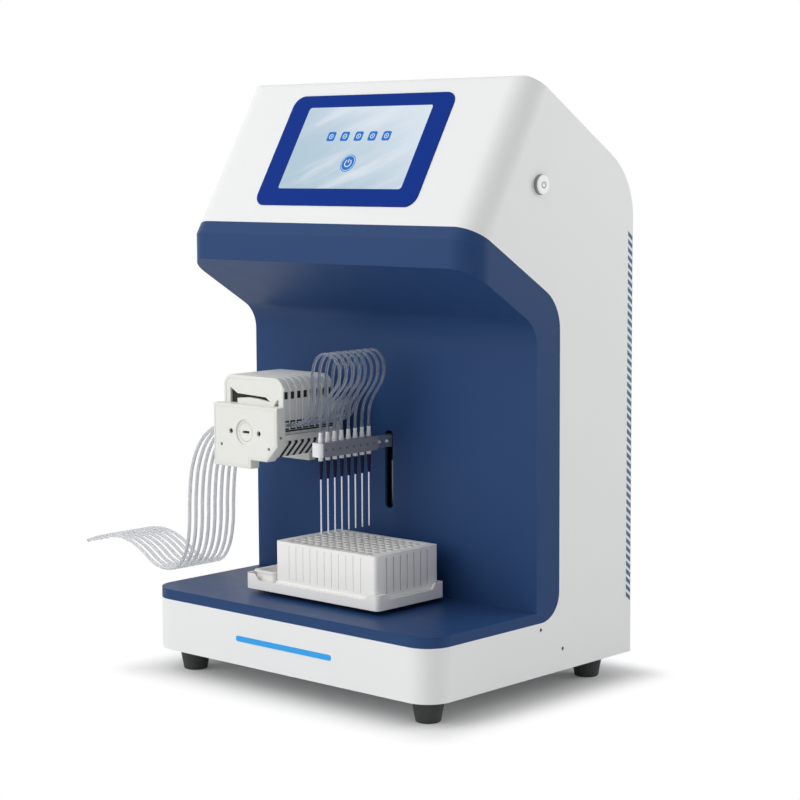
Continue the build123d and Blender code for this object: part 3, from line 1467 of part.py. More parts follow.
def corner_radii(points):
    """Radius of each bend of a tube along the points."""
    radii = []
    for before, corner, after in zip(points, points[1:], points[2:]):
        first = Vector(*corner) - Vector(*before)
        second = Vector(*after) - Vector(*corner)
        half_turn = radians(first.get_angle(second)) / 2
        radii.append(bend_share * min(first.length, second.length) / tan(half_turn))
    return radii


def tube_along(points, diameter):
    start = Vector(*points[0])
    with BuildPart() as tube:
        with BuildLine() as path:
            FilletPolyline(*points, radius=corner_radii(points))
        with BuildSketch(Plane(origin=start, z_dir=Vector(*points[1]) - start)):
            Circle(diameter / 2)
        sweep()
    length = path.wires()[0].length
    share = tube.part.volume / (pi * diameter**2 / 4 * length)
    print("tube", round(length, 1), "tightest", round(min(corner_radii(points)), 1), "fill", round(share, 4))
    return tube


channel_y = [stack_front_y + cassette_gap / 2 + (i + 0.5) * cassette_pitch for i in range(channels)]
inlet_start = (pump_x - cassette_half + notch_depth, pump_height + tube_entry_rise)
for i, y in enumerate(channel_y):
    inlet_tube = tube_along(
        [(x, y, base_z + z) for x, z in [inlet_start] + inlet_route],
        inlet_tube_diameter,
    )
    write_piece(inlet_tube, f"inlet_tube_{i + 1}")

outlet_start_x = pump_x + cassette_half - notch_depth
with BuildPart() as outlet_tubes:
    for i, y in enumerate(channel_y):
        needle_y = first_needle_y + i * needle_pitch
        narrowing = [0, i * outlet_narrowing / 2, i * outlet_narrowing, i * outlet_narrowing]
        points = [(outlet_start_x, y, pump_z + tube_exit_rise)]
        points += [(loop_start[0], y, pump_z + loop_start[1])]
        points += [(loop_rise[0], (y + needle_y) / 2, pump_z + loop_rise[1])]
        points += [(x - less, needle_y, pump_z + z) for (x, z), less in zip(loop_points, narrowing)]
        points += [(x, needle_y, base_z + sleeve_top + z) for x, z in outlet_end]
        add(tube_along(points, outlet_tube_diameter).part)
write_piece(outlet_tubes, "outlet_tubes")
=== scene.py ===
import math

import bmesh
import bpy
from mathutils import Matrix, Vector


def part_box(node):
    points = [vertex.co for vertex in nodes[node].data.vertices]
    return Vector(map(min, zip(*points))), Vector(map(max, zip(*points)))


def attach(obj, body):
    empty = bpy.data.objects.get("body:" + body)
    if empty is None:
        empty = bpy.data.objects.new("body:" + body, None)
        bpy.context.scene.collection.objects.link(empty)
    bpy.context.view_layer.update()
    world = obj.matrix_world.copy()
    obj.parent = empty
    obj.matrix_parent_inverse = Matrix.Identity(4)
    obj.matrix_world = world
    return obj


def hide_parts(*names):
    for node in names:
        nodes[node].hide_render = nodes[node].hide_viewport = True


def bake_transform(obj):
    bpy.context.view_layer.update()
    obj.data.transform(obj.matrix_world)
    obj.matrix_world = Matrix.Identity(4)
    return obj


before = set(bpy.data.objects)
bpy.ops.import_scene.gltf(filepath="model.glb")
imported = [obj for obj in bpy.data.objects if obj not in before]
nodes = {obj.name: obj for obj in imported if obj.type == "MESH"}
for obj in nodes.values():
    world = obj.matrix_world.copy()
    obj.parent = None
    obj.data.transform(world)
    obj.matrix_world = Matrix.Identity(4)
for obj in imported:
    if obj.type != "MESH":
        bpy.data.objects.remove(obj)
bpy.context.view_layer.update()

mm = 0.001


class Term:  # a shader socket that is added, multiplied and so on like a number
    def __init__(self, graph, socket):
        self.graph = graph
        self.socket = socket

    def maths(self, operation, first, second=0.0):
        return self.graph.node("ShaderNodeMath", {"operation": operation}, {0: first, 1: second})

    def __add__(self, other):
        return self.maths("ADD", self, other)

    def __radd__(self, other):
        return self.maths("ADD", other, self)

    def __sub__(self, other):
        return self.maths("SUBTRACT", self, other)

    def __rsub__(self, other):
        return self.maths("SUBTRACT", other, self)

    def __mul__(self, other):
        return self.maths("MULTIPLY", self, other)

    def __rmul__(self, other):
        return self.maths("MULTIPLY", other, self)

    def __truediv__(self, other):
        return self.maths("DIVIDE", self, other)

    def __pow__(self, other):
        return self.maths("POWER", self, other)

    def __abs__(self):
        return self.maths("ABSOLUTE", self)


class Graph:  # one node tree, built from expressions
    def __init__(self, tree):
        self.tree = tree
        tree.nodes.clear()

    def node(self, kind, settings=None, sockets=None, output=0):
        made = self.tree.nodes.new(kind)
        for name, value in (settings or {}).items():
            setattr(made, name, value)
        for name, value in (sockets or {}).items():
            if isinstance(value, Term):
                self.tree.links.new(value.socket, made.inputs[name])
            else:
                made.inputs[name].default_value = value
        return Term(self, made.outputs[output]) if made.outputs else None

    def place(self):  # metres in the part's own frame
        return self.node("ShaderNodeTexCoord", output="Object")

    def parts(self, vector):
        split = self.node("ShaderNodeSeparateXYZ", None, {0: vector}).socket.node
        return [Term(self, split.outputs[i]) for i in range(3)]

    def stretch(self, vector, factors):
        return self.node("ShaderNodeVectorMath", {"operation": "MULTIPLY"}, {0: vector, 1: factors})

    def noise(self, vector, scale, detail=2.0):
        sockets = {"Vector": vector, "Scale": scale, "Detail": detail}
        return self.node("ShaderNodeTexNoise", None, sockets)

    def mix(self, factor, first, second):
        return self.node("ShaderNodeMix", {"data_type": "RGBA"},
                         {0: factor, 6: first, 7: second}, 2)

    def smooth(self, value, low, high):
        return self.node("ShaderNodeMapRange", {"interpolation_type": "SMOOTHSTEP"},
                         {"Value": value, "From Min": low, "From Max": high})

    def bump(self, height, distance, strength):
        return self.node("ShaderNodeBump", None,
                         {"Height": height, "Distance": distance, "Strength": strength})


def rgb(red, green, blue):  # screen values to linear light
    def linear(level):
        level /= 255
        return level / 12.92 if level <= 0.04045 else ((level + 0.055) / 1.055) ** 2.4
    return (linear(red), linear(green), linear(blue), 1.0)


def shade(colour, factor):
    return tuple(channel * factor for channel in colour[:3]) + (1.0,)


def newFinish(name):
    material = bpy.data.materials.new(name)
    material.use_nodes = True
    return material, Graph(material.node_tree)


def close(graph, sockets):
    surface = graph.node("ShaderNodeBsdfPrincipled", None, sockets)
    graph.node("ShaderNodeOutputMaterial", None, {"Surface": surface})


# how moulded and coated surfaces vary: slow tone, slow gloss and fine grain
moulding = {"toneScale": 9, "toneDetail": 3, "glossScale": 40, "glossSpread": 0.08,
            "grainStrength": 0.35}
# how ground and anodised metal varies: fine lines that run along one axis
brushing = {"across": 260.0, "along": 6.0, "scale": 9, "detail": 3, "toneSpread": (0.9, 1.06),
            "glossLow": 0.06, "glossSpread": 0.14, "depth": 0.00002, "strength": 0.5}


def grained(graph, colour, rough, grain, grainScale, specular):
    # fine grain and a slow drift of gloss over any colour
    place = graph.place()
    gloss = graph.noise(place, moulding["glossScale"])
    fine = graph.noise(place, grainScale)
    spread = moulding["glossSpread"]
    close(graph, {"Base Color": colour, "Specular IOR Level": specular,
                  "Roughness": rough - spread / 2 + spread * gloss,
                  "Normal": graph.bump(fine, grain, moulding["grainStrength"])})


def moulded(name, colour, rough, grain, grainScale, tone, specular=0.5):
    # moulded or coated surface with a slow drift of tone
    material, graph = newFinish(name)
    drift = graph.noise(graph.place(), moulding["toneScale"], moulding["toneDetail"])
    tinted = graph.mix(drift, shade(colour, 1 - tone), shade(colour, 1 + tone))
    grained(graph, tinted, rough, grain, grainScale, specular)
    return material


def brushed(name, colour, along, rough=0.3):
    # metal with fine lines that run along one axis
    material, graph = newFinish(name)
    squeeze = [brushing["across"]] * 3
    squeeze["XYZ".index(along)] = brushing["along"]
    lines = graph.noise(graph.stretch(graph.place(), squeeze), brushing["scale"],
                        brushing["detail"])
    dark, bright = (shade(colour, factor) for factor in brushing["toneSpread"])
    close(graph, {"Base Color": graph.mix(lines, dark, bright), "Metallic": 1.0,
                  "Roughness": rough - brushing["glossLow"] + brushing["glossSpread"] * lines,
                  "Normal": graph.bump(lines, brushing["depth"], brushing["strength"])})
    return material


def dress(names, material):
    for name in names:
        mesh = nodes[name].data
        mesh.materials.clear()
        mesh.materials.append(material)


def box(name):
    low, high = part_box(name)
    return Vector(low), Vector(high)


def addRevolved(shape, outline, frameOf, steps=28):
    # a turned form: outline is (radius, height) from its foot to its top, about frameOf's z axis
    rings = []
    for radius, height in outline:
        count = steps if radius > 0 else 1
        turns = [2 * math.pi * i / steps for i in range(count)]
        rings.append([shape.verts.new(frameOf @ Vector((radius * math.cos(turn),
                                                        radius * math.sin(turn), height)))
                      for turn in turns])
    for lower, upper in zip(rings, rings[1:]):
        for i in range(steps):
            corners = [lower[i % len(lower)], lower[(i + 1) % len(lower)],
                       upper[(i + 1) % len(upper)], upper[i % len(upper)]]
            distinct = list(dict.fromkeys(corners))
            if len(distinct) > 2:
                shape.faces.new(distinct)


def addBand(shape, inner, outer, start, stop, frameOf, low, high, steps=40):
    # a flat arc between two radii, start to stop in degrees, from height low to height high
    corners = ((inner, low), (outer, low), (outer, high), (inner, high))
    sections = []
    for i in range(steps + 1):
        turn = math.radians(start + (stop - start) * i / steps)
        sections.append([shape.verts.new(frameOf @ Vector((radius * math.cos(turn),
                                                           radius * math.sin(turn), height)))
                         for radius, height in corners])
    for before, after in zip(sections, sections[1:]):
        for i in range(4):
            shape.faces.new([before[i], before[(i + 1) % 4], after[(i + 1) % 4], after[i]])
    shape.faces.new(sections[0])
    shape.faces.new(list(reversed(sections[-1])))


def addWalls(shape, foot, top):
    # the two ends of a prism and the walls between them
    shape.faces.new(top)
    shape.faces.new(list(reversed(foot)))
    for i in range(len(foot)):
        after = (i + 1) % len(foot)
        shape.faces.new([foot[i], foot[after], top[after], top[i]])


def addTile(shape, width, height, corner, frameOf, low, high, cornerSteps=5):
    # a flat tile with rounded corners, centred on frameOf
    turnX = width / 2 - corner
    turnY = height / 2 - corner
    outline = []
    centres = ((turnX, turnY), (-turnX, turnY), (-turnX, -turnY), (turnX, -turnY))
    for i, (x, y) in enumerate(centres):
        for k in range(cornerSteps + 1):
            turn = math.radians(90 * i + 90 / cornerSteps * k)
            outline.append((x + corner * math.cos(turn), y + corner * math.sin(turn)))
    foot = [shape.verts.new(frameOf @ Vector((x, y, low))) for x, y in outline]
    top = [shape.verts.new(frameOf @ Vector((x, y, high))) for x, y in outline]
    addWalls(shape, foot, top)


def addBlock(shape, low, high):
    # a rectangular bar between two corners
    spots = [(x, y, z) for x in (low[0], high[0]) for y in (low[1], high[1])
             for z in (low[2], high[2])]
    points = [shape.verts.new(spot) for spot in spots]
    sides = ((0, 1, 3, 2), (4, 6, 7, 5), (0, 4, 5, 1), (2, 3, 7, 6), (0, 2, 6, 4), (1, 5, 7, 3))
    for side in sides:
        shape.faces.new([points[i] for i in side])


def finishPiece(name, shape, material, body):
    bmesh.ops.recalc_face_normals(shape, faces=shape.faces)
    mesh = bpy.data.meshes.new(name)
    shape.to_mesh(mesh)
    shape.free()
    mesh.materials.append(material)
    piece = bpy.data.objects.new(name, mesh)
    bpy.context.scene.collection.objects.link(piece)
    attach(piece, body)
    return piece


def aimed(place, normal, upward=(0, 0, 1)):
    # a frame at place whose z axis is normal and whose y axis leans to upward
    outward = Vector(normal).normalized()
    across = Vector(upward).cross(outward).normalized()
    rise = outward.cross(across)
    return Matrix.LocRotScale(Vector(place), Matrix((across, rise, outward)).transposed(), None)


# place in metres; turn from +Y, tilt down and roll in degrees; focal length and sensor in mm
eye = {"place": (1.3512, -1.4541, 0.4801), "turn": 42.572, "tilt": 6.412, "roll": -0.297,
       "focal": 96.71, "sensor": 36.0, "near": 0.05, "far": 60}


def makeCamera():
    turn, tilt, roll = (math.radians(eye[name]) for name in ("turn", "tilt", "roll"))
    ahead = Vector((-math.sin(turn) * math.cos(tilt), math.cos(turn) * math.cos(tilt),
                    -math.sin(tilt)))
    right = Vector((math.cos(turn), math.sin(turn), 0))
    up = right.cross(ahead)
    across = right * math.cos(roll) + up * math.sin(roll)
    upward = up * math.cos(roll) - right * math.sin(roll)
    camera = bpy.data.objects.new("camera", bpy.data.cameras.new("camera"))
    camera.data.lens = eye["focal"]
    camera.data.sensor_width = eye["sensor"]
    camera.data.clip_start = eye["near"]
    camera.data.clip_end = eye["far"]
    camera.matrix_world = Matrix.LocRotScale(
        Vector(eye["place"]), Matrix((across, upward, -ahead)).transposed(), None)
    bpy.context.scene.collection.objects.link(camera)
    bpy.context.scene.camera = camera


makeCamera()
print("camera placed")


# painted shade: the block tone and the grey tone for the button's side are darker for the shade on
# those sides
tones = {"white": rgb(234, 235, 235), "button": rgb(250, 250, 251), "buttonSideShade": rgb(142, 142, 139),
         "blue": rgb(40, 68, 112), "panel": rgb(92, 112, 146), "bezel": rgb(6, 48, 136),
         "screenBlue": rgb(6, 110, 198), "pump": rgb(230, 231, 225), "arm": rgb(230, 231, 233),
         "block": rgb(134, 138, 148), "plate": rgb(246, 245, 242), "hub": rgb(16, 24, 58),
         "needle": rgb(216, 222, 240), "rubber": rgb(54, 58, 56), "black": rgb(34, 35, 37),
         "shadow": rgb(26, 27, 25), "mark": rgb(56, 64, 88), "whiteMark": rgb(232, 234, 236),
         "steel": rgb(186, 188, 190), "aluminium": rgb(205, 207, 209), "board": rgb(30, 92, 54)}

# moulded: tone, roughness, depth and scale of the grain, drift of tone, specular level
white = moulded("white_paint", tones["white"], 0.42, 0.00010, 1100, 0.012, 0.3)
blue = moulded("blue_paint", tones["blue"], 0.40, 0.00010, 1100, 0.04, 0.12)
panelBlue = moulded("panel_paint", tones["panel"], 0.5, 0.00012, 1100, 0.03, 0.2)
bezelBlue = moulded("bezel_print", tones["bezel"], 0.3, 0.00001, 900, 0.02, 0.05)
pumpPlastic = moulded("pump_plastic", tones["pump"], 0.55, 0.00015, 1700, 0.03)
armPlastic = moulded("arm_plastic", tones["arm"], 0.45, 0.00010, 1700, 0.02)
platePlastic = moulded("plate_plastic", tones["plate"], 0.38, 0.00006, 1700, 0.02)
hubPlastic = moulded("hub_plastic", tones["hub"], 0.4, 0.00008, 1700, 0.05, 0.12)
rubber = moulded("foot_rubber", tones["rubber"], 0.75, 0.00030, 900, 0.08)
black = moulded("black_plastic", tones["black"], 0.5, 0.00015, 1500, 0.05)
lacquer = moulded("black_lacquer", shade(tones["black"], 0.8), 0.35, 0.00005, 900, 0.05)
board = moulded("board_green", tones["board"], 0.35, 0.00020, 500, 0.15)
# painted shade: a near-black finish for tiles set where there is only shade
paintedShade = moulded("painted_shade_dark", tones["shadow"], 0.8, 0.00010, 900, 0.1)
# printed marks, and also the painted shade in the tubes' bores
markInkAndBoreShade = moulded("mark_ink_and_bore_shade", tones["mark"], 0.5, 0.00002, 900, 0.02)
whiteInk = moulded("white_ink", tones["whiteMark"], 0.5, 0.00002, 900, 0.02)
steelX = brushed("ground_steel_x", tones["steel"], "X")
steelY = brushed("ground_steel_y", tones["steel"], "Y")
steelZ = brushed("ground_steel_z", tones["steel"], "Z")
aluminium = brushed("anodised_aluminium", tones["aluminium"], "Z", 0.42)
needleSteel = brushed("needle_steel", tones["needle"], "Z", 0.2)

dress(["main_housing"], white)
dress(["work_liner"], blue)
dress(["rear_panel"], panelBlue)
dress(["screen_bezel"], bezelBlue)
dress(["pump_front_plate", "pump_mount_plate", "tube_cassettes", "pump_tie_bars", "pump_rotor"],
      pumpPlastic)
dress(["tube_sleeves"], armPlastic)
dress(["priming_trough", "deep_well_plate", "plate_carrier"], platePlastic)
dress(["needle_hubs"], hubPlastic)
dress(["rubber_feet"], rubber)
dress(["mains_inlet", "switch_frame", "power_rocker", "fan_frame", "fan_rotor", "power_switch"],
      black)
dress(["side_screws", "z_motor", "x_motor", "pump_motor"], lacquer)
dress(["main_board"], board)
dress(["x_rail", "x_screw"], steelX)
dress([f"pump_roller_{i}" for i in range(1, 7)], steelY)
dress(["z_rail", "z_screw", "bottom_plate"], steelZ)
dress(["z_frame", "x_frame", "z_carriage", "x_carriage", "arm_bracket", "power_supply"], aluminium)
dress(["needles"], needleSteel)
print("finishes on the carried-over pieces")


# the slanted face: its lower edge, how far it leans, and how proud its glass and ink stand
face = {"edge": (0.0, -0.0886, 0.412), "lean": 30.6, "glass": 0.0002, "ink": 0.00012}
# the lit picture: wash holds the shares of across, up and streaks in its lighter side
screen = {"centre": 0.0908, "width": 0.154, "height": 0.086, "glow": 0.86, "specular": 0.2,
          "glass": rgb(12, 14, 18), "rough": 0.14, "smear": 0.04, "smearScale": 60,
          "pale": rgb(186, 211, 226), "light": rgb(228, 239, 250), "wash": (0.7, 0.5, 0.9),
          "streak": rgb(238, 246, 252), "streakShare": 0.55, "streakEdge": (0.5, 0.75),
          "streakScale": 1.8, "streakDetail": 3, "streakAcross": 2.0, "streakAlong": 0.5}
menu = {"up": 0.1025, "tile": 0.0098, "corner": 0.0020, "pitch": 0.0172, "tiles": 5,
        "ring": 0.0026, "ringInside": 0.72, "dot": 0.0012, "dotCorner": 0.0003}
# the round icon: its ring, sign and line are shares of its radius
icon = {"up": 0.0744, "radius": 0.0088, "ring": (0.84, 0.90), "sign": 0.42, "line": 0.11}
lit = {"ink": 0.8, "inkBase": 0.2, "paleInk": 0.85, "pale": rgb(226, 240, 250),
       "paleBase": rgb(60, 70, 80), "bar": 0.9, "barColour": rgb(44, 156, 222),
       "barBase": rgb(24, 60, 96), "cloudScale": 120, "rough": 0.35, "roughSpread": 0.05,
       "specular": 0.2, "dim": 0.95, "bright": 1.05}
# the power sign: its bar is given in shares of the ring's radius and of the line's width
powerShape = {"ringFrom": 125, "ringTo": 415, "barUp": 0.62, "barLength": 1.05, "barCorner": 0.4}
lean = math.radians(face["lean"])
faceUp = Vector((0, math.sin(lean), math.cos(lean)))
faceOut = Vector((0, -math.cos(lean), math.sin(lean)))


def onFace(across, up, proud):
    # a frame on the slanted face, its z axis pointing out of it
    place = Vector(face["edge"]) + Vector((across, 0, 0)) + faceUp * up + faceOut * proud
    return aimed(place, faceOut, faceUp)


def pictureFinish():
    # lit picture: pale blue with soft slanting streaks, lighter towards its right
    material, graph = newFinish("screen_picture")
    x, y, z = graph.parts(graph.place())
    across = x / screen["width"]
    fromEdge = (y - face["edge"][1]) * faceUp.y + (z - face["edge"][2]) * faceUp.z
    up = (fromEdge - screen["centre"]) / screen["height"]
    slant = graph.node("ShaderNodeCombineXYZ", None,
                       {0: (across - up) * screen["streakAcross"],
                        1: (up + across) * screen["streakAlong"], 2: 0.0})
    streaks = graph.noise(slant, screen["streakScale"], screen["streakDetail"])
    acrossShare, upShare, streakShare = screen["wash"]
    wash = graph.smooth(across * acrossShare + up * upShare + streaks * streakShare, 0.0, 1.0)
    picture = graph.mix(wash, screen["pale"], screen["light"])
    gleam = screen["streakShare"] * graph.smooth(streaks, *screen["streakEdge"])
    smear = graph.noise(graph.place(), screen["smearScale"])
    close(graph, {"Base Color": screen["glass"], "Specular IOR Level": screen["specular"],
                  "Roughness": screen["rough"] + screen["smear"] * smear,
                  "Emission Color": graph.mix(gleam, picture, screen["streak"]),
                  "Emission Strength": screen["glow"]})
    return material


def glowing(name, colour, strength, base):
    # a lit diffuser: even light with a faint cloud in its plastic
    material, graph = newFinish(name)
    cloud = graph.noise(graph.place(), lit["cloudScale"])
    dim, bright = (shade(colour, lit[level]) for level in ("dim", "bright"))
    close(graph, {"Base Color": base, "Specular IOR Level": lit["specular"],
                  "Roughness": lit["rough"] + lit["roughSpread"] * cloud,
                  "Emission Color": graph.mix(cloud, dim, bright), "Emission Strength": strength})
    return material


def powerSign(shape, frameOf, radius, line, low, high):
    # an open ring with a bar at its top
    addBand(shape, radius - line / 2, radius + line / 2, powerShape["ringFrom"],
            powerShape["ringTo"], frameOf, low, high)
    bar = frameOf @ Matrix.Translation((0, radius * powerShape["barUp"], 0))
    addTile(shape, line, radius * powerShape["barLength"], line * powerShape["barCorner"], bar,
            low, high)


def makeScreenMarks():
    high = face["ink"]
    blueLight = glowing("screen_ink", tones["screenBlue"], lit["ink"],
                        shade(tones["screenBlue"], lit["inkBase"]))
    paleLight = glowing("screen_pale_ink", lit["pale"], lit["paleInk"], lit["paleBase"])
    tiles = bmesh.new()
    rings = bmesh.new()
    for i in range(menu["tiles"]):
        across = (i - (menu["tiles"] - 1) / 2) * menu["pitch"]
        place = onFace(across, menu["up"], face["glass"])
        addTile(tiles, menu["tile"], menu["tile"], menu["corner"], place, 0.0, high)
        addBand(rings, menu["ring"] * menu["ringInside"], menu["ring"], 0, 360, place, high,
                2 * high, steps=32)
        addTile(rings, menu["dot"], menu["dot"], menu["dotCorner"], place, high, 2 * high)
    finishPiece("menuTiles", tiles, blueLight, "chassis")
    finishPiece("menuRings", rings, paleLight, "chassis")
    disc = bmesh.new()
    place = onFace(0, icon["up"], face["glass"])
    radius = icon["radius"]
    addRevolved(disc, [(0, 0.0), (radius, 0.0), (radius, high), (0, high)], place, steps=48)
    finishPiece("iconDisc", disc, blueLight, "chassis")
    sign = bmesh.new()
    inner, outer = (radius * share for share in icon["ring"])
    addBand(sign, inner, outer, 0, 360, place, high, 2 * high, steps=60)
    powerSign(sign, place, radius * icon["sign"], radius * icon["line"], high, 2 * high)
    finishPiece("iconSign", sign, paleLight, "chassis")


dress(["display_panel"], pictureFinish())
dress(["light_bar"], glowing("light_bar_diffuser", lit["barColour"], lit["bar"], lit["barBase"]))
makeScreenMarks()
print("screen and light bar lit")


button = {"y": 0.005, "z": 0.457, "signRadius": 0.0028, "line": 0.0007, "ink": 0.00012,
          "rough": 0.35, "grain": 0.00006, "grainScale": 1100, "shadeEdge": 0.0007,
          "shadeFade": 0.0003}


def shadedButtonFinish():
    # painted shade: the button's side near the wall is painted grey for the shade on it; its face
    # keeps the cap's white
    material, graph = newFinish("button_plastic_painted_shade")
    x = graph.parts(graph.place())[0]
    edge = box("power_button")[1].x - button["shadeEdge"]
    # painted shade: grey below the edge, the cap's white on the face
    whiteFace = graph.smooth(x, edge - button["shadeFade"], edge)
    colour = graph.mix(whiteFace, tones["buttonSideShade"], tones["button"])
    grained(graph, colour, button["rough"], button["grain"], button["grainScale"], 0.5)
    return material


def makeButtonMarks():
    outer = box("power_button")[1].x
    centre = aimed((outer, button["y"], button["z"]), (1, 0, 0))
    shape = bmesh.new()
    powerSign(shape, centre, button["signRadius"], button["line"], 0.0, button["ink"])
    finishPiece("buttonSign", shape, markInkAndBoreShade, "start_button")


dress(["power_button"], shadedButtonFinish())
makeButtonMarks()
print("button marked")


vents = {"side": 0.1757, "thick": 0.0009, "depth": 0.0076, "rear": 0.1399, "low": 0.067,
         "high": 0.4165}


def makeVentScreens():
    # a thin screen inside each wall, seen through the slanting vents
    shape = bmesh.new()
    for side in (-1, 1):
        near = side * vents["side"]
        far = side * (vents["side"] + vents["thick"])
        addBlock(shape, (near, vents["rear"] - vents["depth"], vents["low"]),
                 (far, vents["rear"], vents["high"]))
    finishPiece("ventScreens", shape, panelBlue, "chassis")


makeVentScreens()
print("vents screened")


# the pump head: its axis, half its width, its front and the stack of cassettes
pump = {"axis": (-0.0811, 0.2305), "half": 0.0395, "front": -0.1063, "stackFront": -0.0955,
        "pitch": 0.0082, "count": 8, "middle": 0.00015, "film": 0.00006, "sunk": 0.0005}
# painted shade: dark floors of the handle slot, between the ribs, of the windows, the seats and the
# line stand for the shade in them
paintedShadeTiles = {"handle": (0.0026, 0.0030), "ribs": 0.0016, "windowUp": 0.0353, "windowWidth": 0.0044,
            "windowHeight": 0.0066, "windowCorner": 0.0003, "windowSunk": 0.0002,
            "windowDeep": 0.0004, "seatWidth": 0.0066, "seatHeight": 0.0084, "seatCorner": 0.0004,
            "lineUp": 0.0027, "lineHeight": 0.0015, "lineShort": 0.0024, "lineCorner": 0.0002}
clip = {"up": 0.008, "width": 0.0034, "height": 0.0050, "corner": 0.0004, "proud": 0.0007,
        "fingers": (-0.0022, 0.0022), "fingerAcross": 0.0006, "fingerWidth": 0.0050,
        "fingerHeight": 0.0008, "fingerCorner": 0.0002, "fingerProud": 0.8}
driveSlot = {"depth": 0.0040, "width": 0.0088, "height": 0.0023, "corner": 0.0002}
# front screws are across, up, radius and height; the side screw is across, back, up and so on
pumpScrews = {"back": 0.0030, "front": [(-0.0185, 0.0, 0.0023, 0.0012),
                                        (0.0185, 0.0, 0.0023, 0.0012),
                                        (-0.0315, -0.0132, 0.0014, 0.0010),
                                        (0.0315, -0.0132, 0.0014, 0.0010)],
              "side": (0.03925, 0.0054, -0.0025, 0.0015, 0.0010)}
# a screw head's outline, in shares of its radius and height
screwHead = {"wall": 0.75, "top": 0.88, "boreShade": 0.55, "floor": 0.5, "floorUp": 0.35}
slotOutline = [(-30.2, 25.2), (-30.2, 38.9), (-21, 33.7), (17, 32.2), (22.4, 28.6), (8, 30.6),
               (-6, 31.3), (-21, 29.8), (-20.9, 25.2)]
ribOutline = [(25.2, -6.4), (39.4, -6.4), (39.4, -8.95), (26.9, -22.4), (25.2, -22.4)]


def addProfile(shape, outline, nearY, farY, mirror=1):
    # a form across the pump: outline in millimetres about its axis, from nearY to farY
    axisX, axisZ = pump["axis"]
    near, far = ([shape.verts.new((axisX + mirror * x * mm, y, axisZ + z * mm))
                  for x, z in outline] for y in (nearY, farY))
    addWalls(shape, far, near)


def onPumpSide(y, up, sunk=0.0):
    # a frame on the side of the cassettes that faces the needles
    axisX, axisZ = pump["axis"]
    return aimed((axisX + pump["half"] - sunk, y, axisZ + up), (1, 0, 0))


def makePumpDetails():
    stackRear = pump["stackFront"] + pump["count"] * pump["pitch"]
    # painted shade: dark tiles in the handle slot, between the ribs, in the windows, the seats and
    # the line
    dark = bmesh.new()
    nearY, farY = (pump["stackFront"] + depth for depth in paintedShadeTiles["handle"])
    addProfile(dark, slotOutline, nearY, farY)
    for mirror in (-1, 1):
        addProfile(dark, ribOutline, pump["stackFront"] + paintedShadeTiles["ribs"],
                   stackRear - paintedShadeTiles["ribs"], mirror)
    clips = bmesh.new()
    for i in range(pump["count"]):
        y = pump["stackFront"] + (i + 0.5) * pump["pitch"] + pump["middle"]
        window = onPumpSide(y, paintedShadeTiles["windowUp"], paintedShadeTiles["windowSunk"])
        addTile(dark, paintedShadeTiles["windowWidth"], paintedShadeTiles["windowHeight"], paintedShadeTiles["windowCorner"],
                window, -paintedShadeTiles["windowDeep"], 0.0)
        place = onPumpSide(y, clip["up"])
        addTile(dark, paintedShadeTiles["seatWidth"], paintedShadeTiles["seatHeight"], paintedShadeTiles["seatCorner"], place,
                -pump["sunk"], pump["film"])
        addTile(clips, clip["width"], clip["height"], clip["corner"], place, 0.0, clip["proud"])
        for shift in clip["fingers"]:
            finger = place @ Matrix.Translation((clip["fingerAcross"], shift, 0))
            addTile(clips, clip["fingerWidth"], clip["fingerHeight"], clip["fingerCorner"], finger,
                    0.0, clip["proud"] * clip["fingerProud"])
    middle = onPumpSide((pump["stackFront"] + stackRear) / 2, paintedShadeTiles["lineUp"])
    addTile(dark, stackRear - pump["stackFront"] - paintedShadeTiles["lineShort"], paintedShadeTiles["lineHeight"],
            paintedShadeTiles["lineCorner"], middle, -pump["sunk"], pump["film"])
    finishPiece("pumpPaintedShade", dark, paintedShade, "chassis")
    # painted shade: a dark tile on the drive slot's floor
    slot = bmesh.new()
    axisX, axisZ = pump["axis"]
    floor = aimed((axisX, pump["front"] + driveSlot["depth"], axisZ), (0, -1, 0))
    addTile(slot, driveSlot["width"], driveSlot["height"], driveSlot["corner"], floor, 0.0,
            pump["film"])
    finishPiece("driveSlotPaintedShade", slot, paintedShade, "pump_drive")
    finishPiece("tubeClips", clips, pumpPlastic, "chassis")


def socketScrew(radius, height):
    # outline of a screw head with a round recess: a chamfered rim and a sunk floor
    floorUp = height * screwHead["floorUp"]
    return [(radius, 0), (radius, height * screwHead["wall"]), (radius * screwHead["top"], height),
            (radius * screwHead["boreShade"], height), (radius * screwHead["floor"], floorUp),
            (0, floorUp)]


def makePumpScrews():
    axisX, axisZ = pump["axis"]
    shape = bmesh.new()
    for across, up, radius, height in pumpScrews["front"]:
        place = aimed((axisX + across, pump["front"] + pumpScrews["back"], axisZ + up), (0, -1, 0))
        addRevolved(shape, socketScrew(radius, height), place)
    across, back, up, radius, height = pumpScrews["side"]
    place = aimed((axisX + across, pump["front"] + back, axisZ + up), (1, 0, 0))
    addRevolved(shape, socketScrew(radius, height), place)
    finishPiece("pumpScrews", shape, lacquer, "chassis")


makePumpDetails()
makePumpScrews()
print("pump head fitted")


arm = {"blockSide": 0.007, "screwUp": 0.2197, "screwRadius": 0.0010, "screwHeight": 0.00032,
       "screwSunk": 0.0002, "armSide": 0.004, "boltPlaces": [(-0.0150, 0.2195), (-0.0050, 0.2195)],
       "boltRadius": 0.0021, "boltHeight": 0.0016, "firstNeedleY": -0.0892, "needlePitch": 0.009,
       "needles": 8, "tipLength": 0.0022, "tipFade": 0.0016, "rough": 0.45, "grain": 0.00010,
       "grainScale": 1700, "specular": 0.2}


